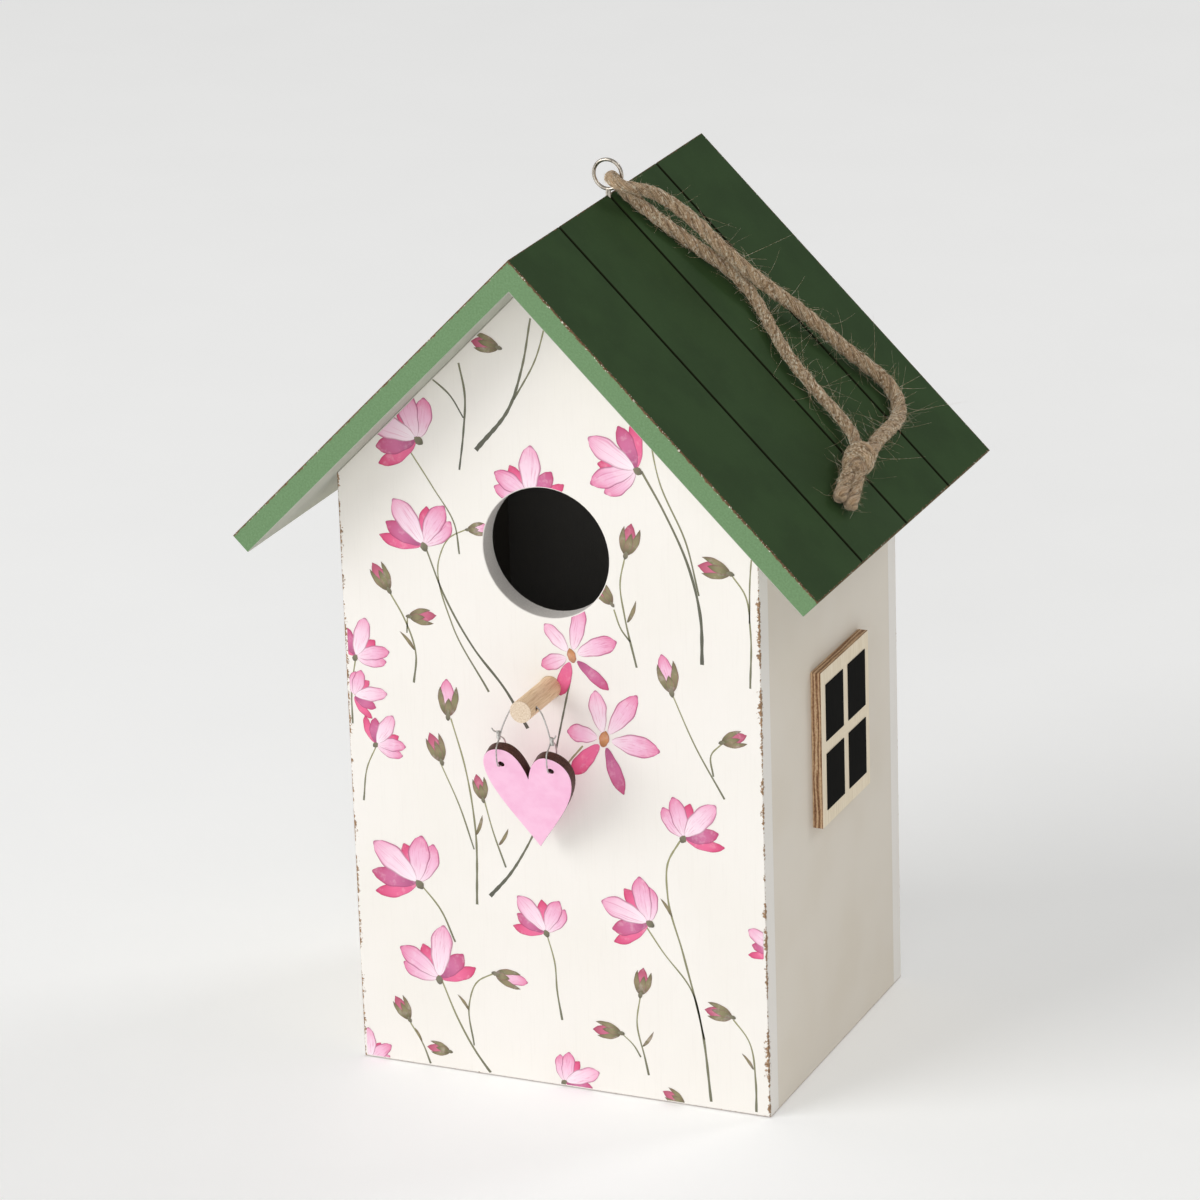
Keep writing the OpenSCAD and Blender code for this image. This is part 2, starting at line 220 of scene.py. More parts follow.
class Recipe:
    # A material whose nodes are laid one by one and end in one principled shader

    def __init__(self, name, roughness, specular=0.3, metallic=0.0, sheen=0.0):
        self.material = bpy.data.materials.new(name)
        self.material.use_nodes = True
        self.tree = self.material.node_tree
        self.shader = self.tree.nodes["Principled BSDF"]
        self.shader.inputs["Roughness"].default_value = roughness
        self.shader.inputs["Specular IOR Level"].default_value = specular
        self.shader.inputs["Metallic"].default_value = metallic
        self.shader.inputs["Sheen Weight"].default_value = sheen
        self.spot = self.put("ShaderNodeTexCoord")

    def put(self, kind, feeds=None, **settings):
        node = self.tree.nodes.new(kind)
        for key, value in settings.items():
            setattr(node, key, value)
        for key, value in (feeds or {}).items():
            self.feed(node.inputs[key], value)
        return node

    def feed(self, socket, value):
        if isinstance(value, bpy.types.NodeSocket):
            self.tree.links.new(value, socket)
        else:
            socket.default_value = value

    def math(self, operation, a, b=0.0):
        return self.put("ShaderNodeMath", {0: a, 1: b}, operation=operation).outputs[0]

    def times(self, a, b):
        return self.math("MULTIPLY", a, b)

    def plus(self, a, b):
        return self.math("ADD", a, b)

    def minus(self, a, b):
        return self.math("SUBTRACT", a, b)

    def larger(self, a, b):
        return self.math("MAXIMUM", a, b)

    def attribute(self, name, output):
        return self.put("ShaderNodeAttribute", attribute_name=name).outputs[output]

    def place(self):
        # Object coordinates in millimetres, as a vector and as x, y and z
        scaled = self.put("ShaderNodeVectorMath", {0: self.spot.outputs["Object"], "Scale": 1000.0},
                          operation="SCALE").outputs[0]
        parts = self.put("ShaderNodeSeparateXYZ", {0: scaled}).outputs
        return scaled, parts[0], parts[1], parts[2]

    def stretch(self, vector, x, y, z):
        return self.put("ShaderNodeVectorMath", {0: vector, 1: (x, y, z)}, operation="MULTIPLY").outputs[0]

    def noise(self, vector, scale, detail=3.0, roughness=0.55):
        return self.put("ShaderNodeTexNoise", {"Vector": vector, "Scale": scale, "Detail": detail,
                                               "Roughness": roughness}).outputs[0]

    def band(self, value, low, high):
        # 0 below low, 1 above high, smooth between them
        return self.put("ShaderNodeMapRange", {0: value, 1: low, 2: high},
                        interpolation_type="SMOOTHSTEP").outputs[0]

    def mix(self, share, a, b):
        return self.put("ShaderNodeMix", {0: share, 6: a, 7: b}, data_type="RGBA").outputs[2]

    def ramp(self, value, stops):
        node = self.put("ShaderNodeValToRGB", {0: value})
        marks = node.color_ramp.elements
        marks[0].position, marks[0].color = stops[0]
        marks[1].position, marks[1].color = stops[-1]
        for spot, colour in stops[1:-1]:
            marks.new(spot).color = colour
        return node.outputs[0]

    def worn(self, distance, vector, width, scale=1.0, amount=1.0):
        # 1 where the edge distance is under a noisy width, for chips and rubbed edges
        rough = self.noise(vector, scale, 4.0, 0.7)
        level = self.plus(self.math("DIVIDE", self.minus(width, distance), width),
                          self.times(self.minus(rough, 0.55), 6.0 * amount))
        return self.band(level, 0.0, 0.35)

    def finish(self, colour, bump=None, strength=0.3, height=0.0002, roughness=None):
        self.feed(self.shader.inputs["Base Color"], colour)
        if roughness is not None:
            self.feed(self.shader.inputs["Roughness"], roughness)
        if bump is not None:
            raised = self.put("ShaderNodeBump", {"Height": bump, "Strength": strength, "Distance": height})
            self.feed(self.shader.inputs["Normal"], raised.outputs[0])
        return self.material


# Cord

cord = {
    "diameter": 3.6,
    "step": 0.4,
    "sides": 30,
    "plies": 3,
    "plyPitch": 15.0,       # one turn of the plies along the cord
    "plyDepth": 0.24,
    "grooveShape": 0.55,    # smaller makes the grooves between plies narrower
    "hairReach": 8.0,
    "fibreLength": 13.0,
    "fibrePitch": 24.0,
    "hairs": 900,
    "fibres": 1900,
    "hairNearRing": 0.6,    # longest hair at the ring, and how much longer per millimetre from it
    "hairGrowth": 0.16,
    # share of the way along, and the radius there as a share of the even one
    "swell": [(0, 0.9), (0.06, 0.84), (0.2, 0.86), (0.3, 0.98), (0.44, 0.92), (0.55, 1.0), (0.7, 1.02),
              (0.85, 1.1), (0.93, 1.12), (1, 1.0)],
}

# The route from the knot through the ring and back: distance down the slope, y, height above it
cordRoute = [
    (93.8, -0.5, 3.8), (92.6, 2.5, 3.6), (89.5, 5.5, 3.1), (84, 7.5, 2.6), (77, 8, 2.4),
    (69, 8.5, 2.4), (61, 10.5, 2.3), (55, 13.5, 2.2), (49, 16.5, 2.2), (43, 18.5, 2.2),
    (36, 18, 2.2), (28, 14.5, 2.2), (20, 10.5, 2.2), (12, 7, 2.2), (6, 5, 2.2),
    (2, 3.6, 2.4), (-0.5, 2.9, 2.9), (-2.35, 1.6, 3.5), (-2.8, 0, 4.1),
    (-2.35, -1.6, 4.7), (-0.8, -2.7, 5.3), (1.5, -1.8, 5.9), (4, 2, 6.2),
    (8, 8, 6.3), (14, 12, 6.3), (22, 14.5, 6.3), (30, 15.5, 6.3), (38, 17.5, 6.2),
    (46, 22, 5.4), (54, 27.5, 4.5), (63, 32, 3.8), (72, 35.5, 3.2), (79, 39, 2.8),
    (85, 41, 2.6), (90, 39.5, 2.6), (93.5, 35, 2.7), (95, 29, 2.9), (95.4, 22, 3.3),
    (95.6, 15, 3.8), (96.2, 8, 4.4), (97, 3.5, 4.9), (97.6, -0.5, 5.1),
]
ringPoint = (-2.8, 0, 4.1)
random = np.random.default_rng(7)


def ropeSurface(path, s, radius, sides, first=(0.3, 0.2, 1.0)):
    # Twisted plies: the radius is the cord's radius less a groove where the cosine of the ply
    # angle falls to zero, and the ply angle turns with the length walked. The fibre attribute is a
    # point on a cylinder that turns more slowly, so that streaks of noise run along the fibres.
    angle = np.arange(sides) * 2 * np.pi / sides
    turn = angle[None] - s[:, None] * 2 * np.pi / cord["plyPitch"]
    groove = 1 - np.abs(np.cos(cord["plies"] / 2 * turn)) ** cord["grooveShape"]
    wobble = 1 + 0.04 * np.sin(s * 0.9) + 0.03 * np.sin(s * 2.3 + 1)
    table = (np.broadcast_to(radius, s.shape) * wobble)[:, None] * (1 - cord["plyDepth"] * groove)
    verts, faces, caps = sweep(path, table, sides, first)
    lay = angle[None] - s[:, None] * 2 * np.pi / cord["fibrePitch"]
    along = np.broadcast_to(s[:, None] / 7, lay.shape)
    fibre = np.stack([7 * np.cos(lay), 7 * np.sin(lay), along], axis=-1)
    return verts, faces, caps, fibre.reshape(-1, 3), groove.ravel()


def walked(path):
    return np.r_[0, np.cumsum(np.linalg.norm(np.diff(path, axis=0), axis=1))]


def juteMaterial():
    r = Recipe("juteTwine", 0.85, 0.15, sheen=0.25)
    r.shader.inputs["Sheen Roughness"].default_value = 0.5
    fibre = r.attribute("fibre", "Vector")
    groove = r.attribute("groove", "Fac")
    strands = r.noise(fibre, 1.6, 4.0, 0.65)
    broad = r.noise(r.stretch(fibre, 0.3, 0.3, 1.4), 1.0, 2.0)
    colour = r.ramp(strands, [(0.34, tint(96, 72, 48)), (0.44, tint(166, 136, 102)),
                              (0.54, tint(212, 182, 146)), (0.66, tint(246, 230, 202))])
    colour = r.mix(r.times(r.band(broad, 0.45, 0.7), 0.35), colour, tint(158, 112, 78))
    # The grooves between the plies are painted darker: painted shade in the creases
    colour = r.mix(r.times(r.band(groove, 0.25, 0.9), 0.55), colour, tint(72, 50, 32))
    return r.finish(colour, strands, 0.9, 0.0004)


def hairMaterial():
    r = Recipe("juteHair", 0.7, 0.2)
    vector = r.place()[0]
    tones = [(0.36, tint(146, 114, 82)), (0.5, tint(226, 200, 164)), (0.62, tint(254, 246, 226))]
    return r.finish(r.ramp(r.noise(vector, 1.3, 2.0), tones))


def strayHairs(path, radius, count, reach):
    # Loose curved hairs: each starts on the cord at a random place and angle, leaves it leaning
    # along the cord and bends sideways with the square of the distance. Returns spines and thickness.
    t, n, b = carriedFrames(path)
    at = random.integers(2, len(path) - 2, count)
    angle = random.uniform(0, 2 * np.pi, count)
    out = np.cos(angle)[:, None] * n[at] + np.sin(angle)[:, None] * b[at]
    side = np.cross(out, t[at])
    direction = out + random.uniform(-2.4, 2.4, (count, 1)) * t[at] \
        + random.uniform(-0.9, 0.9, (count, 1)) * side
    direction /= np.linalg.norm(direction, axis=1)[:, None]
    bend = random.normal(0, 1.6, (count, 3))
    length = reach * random.uniform(0.15, 1.0, (count, 1)) ** 2.4
    fromRing = np.linalg.norm(path[at] - onSlope([ringPoint]), axis=1)[:, None]
    length = np.minimum(length, cord["hairNearRing"] + cord["hairGrowth"] * fromRing)
    u = np.linspace(0, 1, 8)[None, :, None]
    root = path[at] + out * radius * 0.8
    spine = root[:, None] + length[:, None] * (u * direction[:, None] + 0.5 * u**2 * bend[:, None])
    return spine, random.uniform(0.025, 0.045, (count, 1))


def aboveSlope(spine):
    # Points that would sink into the right slope are turned up from it
    flat = spine.reshape(-1, 3)
    a = (flat[:, 0] - (flat[:, 2] - ridgeZ)) / np.sqrt(2)
    h = (flat[:, 0] + flat[:, 2] - ridgeZ) / np.sqrt(2)
    lifted = onSlope(np.stack([a, flat[:, 1], np.maximum(np.abs(h), 0.1)], 1))
    return np.where(((flat[:, 0] > 0) & (a > 0))[:, None], lifted, flat).reshape(spine.shape)


def hairPiece(name, *groups):
    verts, faces, caps = joined([hairTubes(aboveSlope(spine), thick) for spine, thick in groups])
    return addPiece(name, verts, faces, hair, "cord", caps=caps)


def surfaceFibres(path, radius, count, turn, longest):
    # Fine fibres that lie on the cord: each starts at a random place and angle and goes round the
    # path by the ply's turn times a random share, at the cord's radius less its groove plus a small
    # lift, and its tail may rise off. Returns spines of eight points and their thickness.
    walk = walked(path)
    t, n, b = carriedFrames(path)
    length = np.minimum(random.uniform(0.35, 1.0, (count, 1)) * longest, walk[-1] * 0.8)
    start = random.uniform(0, 1, (count, 1)) * (walk[-1] - length)
    u = np.linspace(0, 1, 8)[None]
    s = start + length * u
    angle = random.uniform(0, 2 * np.pi, (count, 1)) \
        + (s - start) * turn * random.uniform(0.5, 1.5, (count, 1))
    ply = angle - s * 2 * np.pi / cord["plyPitch"]
    groove = 1 - np.abs(np.cos(cord["plies"] / 2 * ply)) ** cord["grooveShape"]
    tail = random.uniform(0, 1, (count, 1)) ** 5 * 1.6
    radii = np.interp(s, walk, np.broadcast_to(radius, walk.shape)) * (1 - cord["plyDepth"] * 0.9 * groove)
    radii += random.uniform(0.0, 0.1, (count, 1)) + tail * np.clip(u * 2 - 1, 0, 1) ** 2
    at = [np.stack([np.interp(s, walk, table[:, k]) for k in range(3)], -1) for table in (path, n, b)]
    spine = at[0] + radii[..., None] * (np.cos(angle)[..., None] * at[1] + np.sin(angle)[..., None] * at[2])
    return spine, random.uniform(0.05, 0.1, (count, 1))


def hairTubes(spine, thick):
    # Three-sided tubes round many spines at once, thinner towards their ends
    count, steps = spine.shape[:2]
    heading = spine[:, -1] - spine[:, 0]
    heading /= np.linalg.norm(heading, axis=1)[:, None]
    one = np.cross(heading, [0.31, 0.52, 0.79])
    one /= np.linalg.norm(one, axis=1)[:, None]
    two = np.cross(heading, one)
    corner = np.arange(3) * 2 * np.pi / 3
    offset = np.cos(corner)[None, :, None] * one[:, None] + np.sin(corner)[None, :, None] * two[:, None]
    taper = thick * (1 - 0.7 * np.linspace(0, 1, steps)[None] ** 1.5)
    verts = (spine[:, :, None] + taper[..., None, None] * offset[:, None]).reshape(-1, 3)
    oneHair = gridFaces(steps, 3, wrap=True)
    size = 3 * steps
    faces = (oneHair[None] + size * np.arange(count)[:, None, None]).reshape(-1, 4)
    base = size * np.arange(count)[:, None]
    # The corners run anticlockwise about the heading, so the root looks back and the tip ahead
    caps = np.concatenate([base + [2, 1, 0], base + size - 3 + np.array([[0, 1, 2]])])
    probe = verts[faces[:len(oneHair)]]
    away = np.cross(probe[:, 1] - probe[:, 0], probe[:, 3] - probe[:, 0])
    if np.einsum("ij,ij->i", away, probe.mean(1) - verts[:size].mean(0)).sum() < 0:
        faces = faces[:, ::-1]
    return verts, faces, caps


jute = juteMaterial()
hair = hairMaterial()
wholePath = smoothRoute(onSlope(cordRoute), cord["step"])
wholeWalk = walked(wholePath)
bight = int(np.argmin(np.linalg.norm(wholePath - onSlope([ringPoint]), axis=1)))
# The twine is spun thinner towards the knot on one strand and thicker on the other
ropeRadius = cord["diameter"] / 2 * np.interp(wholeWalk / wholeWalk[-1], *zip(*cord["swell"]))
ropeVerts, ropeFaces, _, ropeFibre, ropeGroove = ropeSurface(wholePath, wholeWalk, ropeRadius,
                                                             cord["sides"])


def strand(name, lo, hi):
    # One strand is a run of the whole cord's rings, closed at both ends
    sides = cord["sides"]
    pick = slice(lo * sides, (hi + 1) * sides)
    count = (hi - lo) * sides
    faces = ropeFaces[lo * sides:lo * sides + count] - lo * sides
    return addPiece(name, ropeVerts[pick], faces, jute, "cord",
                    {"fibre": ropeFibre[pick], "groove": ropeGroove[pick]},
                    caps=endCaps(faces, count, sides))


lowerStrand = strand("cordLowerStrand", 0, bight)
upperStrand = strand("cordUpperStrand", bight, len(wholePath) - 1)

knot = {
    "axisFrom": (95.6, 1.2, 4.7),
    "axisTo": (97.2, -10.4, 4.6),
    "coreRadius": 2.5,
    "wraps": 2.6,
    "wrapRadius": 2.6,
    "wrapThick": 1.75,
    "sides": 22,
    "tailHairs": ((130, 5.0), (110, 4.0)),      # how many and how long, on each cut end
    "tailFibres": (170, 9.0),
    "wrapFibres": (420, 8.0),
    "wrapHairs": (150, 5.0),
}
knotEnds = [
    [(96.0, -5, 4.2), (96.6, -9, 3.9), (97.6, -13, 3.6), (99.2, -18, 3.0), (101.0, -23.6, 2.4)],
    [(98.4, -5, 4.6), (99.2, -9, 4.2), (100.6, -12.5, 3.8), (102.6, -17, 3.1), (104.4, -22.2, 2.4)],
]


def knotWraps(k):
    # A helix round the knot's axis, whose radius swells in the middle
    start, stop = onSlope([k["axisFrom"], k["axisTo"]])
    axis = (stop - start) / np.linalg.norm(stop - start)
    one = np.cross(axis, [1, 0, 1])
    one /= np.linalg.norm(one)
    two = np.cross(axis, one)
    t = np.linspace(0, 1, 170)[:, None]
    angle = 2 * np.pi * k["wraps"] * t + 0.6
    away = k["wrapRadius"] * (0.62 + 0.38 * np.sin(np.pi * np.clip(t * 1.05, 0, 1)))
    helix = start + (0.1 + 0.8 * t) * (stop - start) + away * (np.cos(angle) * one + np.sin(angle) * two)
    return helix, start, stop, one


def knotPiece(k, helix, start, stop, one):
    # Ropes along the wraps, along the axis as a core, and along the two ends, which flare where
    # they are cut and are hollowed a little at the cut.
    parts = []
    t = np.linspace(0, 1, len(helix))[:, None]
    ends = 0.55 + 0.45 * np.clip(np.minimum(t, 1 - t)[:, 0] * 9, 0, 1)
    parts.append(ropeSurface(helix, walked(helix), k["wrapThick"] * ends, k["sides"], one))
    core = smoothRoute([start, (start + stop) / 2, stop], 0.5)
    swell = k["coreRadius"] * (0.75 + 0.25 * np.sin(np.pi * np.linspace(0, 1, len(core))))
    parts.append(ropeSurface(core, walked(core), swell, k["sides"], one))
    for route in knotEnds:
        path = smoothRoute(onSlope(route), 0.4)
        u = np.linspace(0, 1, len(path))
        hollow = 1 - 0.45 * np.clip((u - 0.93) / 0.07, 0, 1) ** 2
        flare = (1.62 + 0.5 * np.clip((u - 0.6) / 0.4, 0, 1) ** 1.5) * hollow
        parts.append(ropeSurface(path, walked(path), flare, k["sides"], one))
    verts, faces, caps = joined([part[:3] for part in parts])
    fibre, groove = (np.concatenate([part[n] for part in parts]) for n in (3, 4))
    return addPiece("cordKnot", verts, faces, jute, "cord",
                    {"fibre": fibre, "groove": groove}, caps=caps)


knotHelix, *knotFrame = knotWraps(knot)
knotObject = knotPiece(knot, knotHelix, *knotFrame)
tailPaths = [smoothRoute(onSlope(route), 0.4) for route in knotEnds]
ropeTurn = 2 * np.pi / cord["plyPitch"]
hairs = hairPiece("cordHairs",
                  strayHairs(wholePath, cord["diameter"] / 2, cord["hairs"], cord["hairReach"]),
                  surfaceFibres(wholePath, ropeRadius, cord["fibres"], ropeTurn, cord["fibreLength"]))
# The groups are drawn in this order, because each takes its random numbers in turn
tailGroups = [strayHairs(path, 1.8, *hairsHere) for path, hairsHere in zip(tailPaths, knot["tailHairs"])]
tailGroups += [surfaceFibres(path, 1.72, knot["tailFibres"][0], ropeTurn, knot["tailFibres"][1])
               for path in tailPaths]
tailGroups.append(surfaceFibres(knotHelix, knot["wrapThick"], knot["wrapFibres"][0], ropeTurn,
                                knot["wrapFibres"][1]))
tailGroups.append(strayHairs(knotHelix, 1.6, *knot["wrapHairs"]))
endHairs = hairPiece("cordEndHairs", *tailGroups)
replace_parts(lowerStrand, "hanging_cord")
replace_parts(upperStrand, "hanging_cord")
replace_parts(knotObject, "cord_knot")


# Boards

def markRim(mesh):
    # The face attribute rim is 1 on faces that don't lie square to the board's largest face
    area = np.empty(len(mesh.polygons))
    mesh.polygons.foreach_get("area", area)
    normal = np.empty(len(mesh.polygons) * 3)
    mesh.polygons.foreach_get("normal", normal)
    normal = normal.reshape(-1, 3)
    rim = (np.abs(normal @ normal[area.argmax()]) < 0.95).astype(float)
    mesh.attributes.new("rim", "FLOAT", "FACE").data.foreach_set("value", rim)


def softBoard(node, name, width, chosen, material, body="house"):
    # A copy of the board with its doubles merged, whose chosen sharp edges are rounded by a bevel.
    # chosen takes both ends of all edges, in millimetres, and says which to round.
    mesh = nodes[node].data.copy()
    mesh.name = name
    shape = bmesh.new()
    shape.from_mesh(mesh)
    bmesh.ops.remove_doubles(shape, verts=shape.verts, dist=1e-6)
    bmesh.ops.dissolve_limit(shape, angle_limit=np.radians(0.5), verts=shape.verts, edges=shape.edges)
    sharp = np.array([e.is_manifold and e.calc_face_angle(0.0) > 0.5 for e in shape.edges])
    shape.to_mesh(mesh)
    shape.free()
    mesh.materials.clear()
    mesh.materials.append(material)
    place = np.empty(len(mesh.vertices) * 3)
    mesh.vertices.foreach_get("co", place)
    place = place.reshape(-1, 3) / mm
    pair = np.empty(len(mesh.edges) * 2, int)
    mesh.edges.foreach_get("vertices", pair)
    a, b = place[pair.reshape(-1, 2)].transpose(1, 0, 2)
    weight = (sharp & chosen(a, b)).astype(float)
    layer = mesh.attributes.new("bevel_weight_edge", "FLOAT", "EDGE")
    layer.data.foreach_set("value", weight)
    markRim(mesh)
    mesh.polygons.foreach_set("use_smooth", np.ones(len(mesh.polygons), bool))
    mesh.set_sharp_from_angle(angle=np.radians(35))
    obj = bpy.data.objects.new(name, mesh)
    show(obj)
    if weight.any():
        bevel = obj.modifiers.new("roundedEdge", "BEVEL")
        bevel.width = width * mm
        bevel.segments = 3
        bevel.limit_method = "WEIGHT"
        bevel.use_clamp_overlap = False
        bevel.harden_normals = True
    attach(obj, body)
    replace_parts(obj, node)
    return obj


def both(a, b, test):
    return test(a) & test(b)


colours = {
    "white": tint(243, 239, 233),
    "whiteWarm": tint(241, 237, 230),
    # The side walls' whites are darker and warmer than the front's: partly painted shade and warm bounce on
    # walls facing away from the key light, partly their plain paint, unlike the front's print
    "sideWhiteShaded": tint(232, 224, 211),
    "sideWarmShaded": tint(228, 219, 204),
    # Near-black for the faces inside the box: painted shade, not a paint the boards have
    "inside": tint(20, 16, 13),
    "green": tint(57, 81, 46),
    "greenDeep": tint(52, 74, 42),
    "greenEdge": tint(106, 137, 98),
    "greenPale": tint(120, 152, 112),
    "fleck": tint(226, 222, 206),
}


def whitePaint(name, vertical=(), lowEdge=True, hole=None, inside=None, coat=("white", "whiteWarm")):
    # Matt white paint with faint upright brush lines. Bare board shows where the distance to a
    # listed edge is under a noisy width; past the inside test the box's inside is painted near-black shade.
    r = Recipe(name, 0.55, 0.25)
    vector, x, y, z = r.place()
    brush = r.noise(r.stretch(vector, 2.2, 2.2, 0.09), 1.0, 3.0)
    cloud = r.noise(vector, 0.035, 2.0)
    colour = r.mix(r.band(cloud, 0.35, 0.75), colours[coat[0]], colours[coat[1]])
    colour = r.mix(r.times(r.band(brush, 0.5, 0.8), 0.12), colour, tint(222, 216, 208))
    bare = r.ramp(r.noise(vector, 1.7, 4.0, 0.7), [(0.35, tint(116, 88, 62)), (0.6, tint(172, 138, 104))])
    patch = r.band(r.noise(r.stretch(vector, 0.05, 0.05, 0.14), 1.0, 3.0, 0.6), 0.38, 0.6)
    chips = 0.0
    for distance, width, amount in vertical:
        reach = r.times(r.plus(r.times(patch, 0.85), 0.15), width)
        mask = r.worn(distance(r, x, y, z), vector, reach, 1.15, amount)
        chips = mask if chips == 0.0 else r.larger(chips, mask)
    if lowEdge:
        mask = r.worn(r.plus(z, 0.35), vector, 0.5, 1.0, 0.9)
        sawn = r.minus(1.0, r.band(z, 0.02, 0.1))  # the sawn lower edge was never painted
        mask = r.larger(mask, sawn)
        chips = mask if chips == 0.0 else r.larger(chips, mask)
    if chips != 0.0:
        colour = r.mix(chips, colour, bare)
    if hole is not None:
        rim = hole(r, x, y, z)
        colour = r.mix(rim, colour, r.mix(r.noise(vector, 2.0), tint(246, 242, 238), tint(214, 208, 202)))
    # Faces past the inside test take the near-black painted shade of the box's inside
    if inside is not None:
        colour = r.mix(inside(r, x, y, z), colour, colours["inside"])
    height = r.plus(r.times(brush, 0.5), r.times(r.noise(vector, 2.6, 3.0), 0.5))
    if chips != 0.0:
        height = r.minus(height, r.times(chips, 1.2))
    return r.finish(colour, height, 0.35, 0.00012)


def cornerDistance(side):
    # The larger of the distances to the side face and to the front face
    def distance(r, x, y, z):
        across = r.minus(bodyHalf, r.times(x, side))
        back = r.minus(y, frontY)
        return r.larger(across, back)
    return distance


def backCornerDistance(side):
    def distance(r, x, y, z):
        across = r.minus(bodyHalf, r.times(x, side))
        return r.larger(across, r.minus(backY, y))
    return distance


entry = {"z": 153.0, "radius": 18.0}


def entryRim(r, x, y, z):
    # 1 on the wall of the entry hole: the radius from its axis is the hole's own
    dz = r.minus(z, entry["z"])
    radius = r.math("SQRT", r.plus(r.times(x, x), r.times(dz, dz)))
    return r.minus(1.0, r.band(radius, entry["radius"] + 0.02, entry["radius"] + 0.16))


def pastY(limit, sign=1):
    def test(r, x, y, z):
        return r.band(r.times(r.minus(y, limit), sign), 0.0, 0.05)
    return test


def withinX(limit):
    def test(r, x, y, z):
        return r.band(r.minus(limit, r.math("ABSOLUTE", x)), 0.0, 0.05)
    return test


wallT = (front[1].y - front[0].y) / mm
frontPaint = whitePaint("frontPaint", [(cornerDistance(1), 1.15, 0.8), (cornerDistance(-1), 0.95, 0.8)],
                        hole=entryRim, inside=pastY(frontY + wallT - 0.03))
backPaint = whitePaint("backPaint", [(backCornerDistance(1), 0.6, 1.0), (backCornerDistance(-1), 0.6, 1.0)],
                       inside=pastY(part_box("back_panel")[0].y / mm + 0.03, -1))
# The side walls take the darker, warmer whites, which hold painted shade as well as their paint
sidePaint = whitePaint("sidePaint", [(cornerDistance(1), 0.9, 0.8), (cornerDistance(-1), 0.8, 0.8)],
                       inside=withinX(bodyHalf - wallT + 0.03), coat=("sideWhiteShaded", "sideWarmShaded"))


def frontEdges(a, b):
    return both(a, b, lambda p: p[:, 1] < frontY + 0.01)


def backEdges(a, b):
    return both(a, b, lambda p: p[:, 1] > backY - 0.01)


softBoard("front_panel", "frontPanel", 0.35, frontEdges, frontPaint)
softBoard("back_panel", "backPanel", 0.35, backEdges, backPaint)
for side in ("left_wall", "right_wall"):
    nodes[side].data.materials.clear()
    nodes[side].data.materials.append(sidePaint)


def roofPaint(name):
    # Matt green paint. Height above the slope and distance down it split the board into its top,
    # its grooves, its edge faces and its underside, and rubbed edges show the board and pale primer.
    r = Recipe(name, 0.55, 0.06)
    vector, x, y, z = r.place()
    span = r.math("ABSOLUTE", x)
    rise = r.minus(z, ridgeZ)
    down = r.times(r.minus(span, rise), np.sqrt(0.5))
    above = r.times(r.plus(span, rise), np.sqrt(0.5))
    sideIn = r.minus(roofHalf, r.math("ABSOLUTE", y))
    eaveIn = r.minus(slopeLen, down)
    inner = r.math("MINIMUM", sideIn, eaveIn)
    cloud = r.noise(vector, 0.06, 3.0)
    grain = r.noise(vector, 1.4, 4.0, 0.6)
    top = r.mix(r.band(cloud, 0.35, 0.7), colours["green"], colours["greenDeep"])
    top = r.mix(r.times(r.band(grain, 0.55, 0.8), 0.25), top, tint(84, 104, 72))
    edge = r.mix(r.band(r.noise(vector, 1.8, 5.0, 0.7), 0.35, 0.7),
                 colours["greenEdge"], colours["greenPale"])
    depth = r.minus(0.0, above)
    # Edge faces are deeper than the top and lie at the board's rim
    rim = r.times(r.band(depth, 0.18, 0.3), r.minus(1.0, r.band(inner, 0.35, 0.5)))
    colour = r.mix(rim, top, edge)
    # The grooves' own faces are painted near-black olive: painted shade in the recess
    groove = r.times(r.band(depth, 0.1, 0.35), r.band(inner, 0.35, 0.5))
    # A dark band along the grooves' lips, painted groove shade that makes the grooves look wider, partly
    # their rubbed lips: distance to the nearest groove, away from the board's ends
    apart = r.math("PINGPONG", y, roofHalf / 4)
    lipShade = r.times(r.minus(1.0, r.band(apart, 0.5, 0.78)), r.band(sideIn, 1.0, 1.5))
    lipShade = r.times(lipShade, r.minus(1.0, r.band(depth, 0.9, 1.0)))
    # Grooves and their lips take the dark olive painted shade
    colour = r.mix(r.larger(groove, r.times(lipShade, 0.85)), colour, tint(34, 36, 20))
    under = r.band(depth, 5.75, 5.9)
    colour = r.mix(under, colour, tint(184, 186, 174))
    line = r.larger(depth, inner)
    bare = r.ramp(r.noise(vector, 2.2, 3.0), [(0.35, tint(72, 56, 40)), (0.62, tint(128, 100, 74))])
    worn = r.worn(line, vector, 0.55, 1.1, 0.55)
    ridge = r.worn(r.larger(depth, down), vector, 0.35, 1.0, 0.8)
    colour = r.mix(r.larger(worn, ridge), colour, bare)
    flecks = r.times(r.band(r.noise(vector, 1.9, 2.0), 0.64, 0.67),
                    r.minus(1.0, r.band(line, 0.4, 0.7)))
    colour = r.mix(flecks, colour, colours["fleck"])
    height = r.plus(r.times(grain, 0.6), r.times(r.noise(vector, 4.5, 2.0), 0.4))
    return r.finish(colour, height, 0.3, 0.0001)


def roofEdges(a, b):
    # The rim of the top face and the outer rim of the underside, but not the mitre
    def test(p):
        above = (np.abs(p[:, 0]) + p[:, 2] - ridgeZ) * np.sqrt(0.5)
        return (above > -0.01) | (np.abs(p[:, 1]) > roofHalf - 0.01) | (np.abs(p[:, 0]) > 78)
    return both(a, b, test) & ~both(a, b, lambda p: np.abs(p[:, 0]) < 0.01)


green = roofPaint("greenPaint")
softBoard("roof_left", "roofLeft", 0.22, roofEdges, green)
softBoard("roof_right", "roofRight", 0.22, roofEdges, green)
print("stage 3: boards")


# Perch, heart, window and metal

# The drop is from the perch's cross hole to the heart's holes, and the lean is the heart's
wire = {"radius": 0.2, "coilRadius": 0.36, "coilTurns": 4.0, "holeSpacing": 14.4, "drop": 15.8,
        "lean": 23.0, "step": 0.15, "sides": 8}


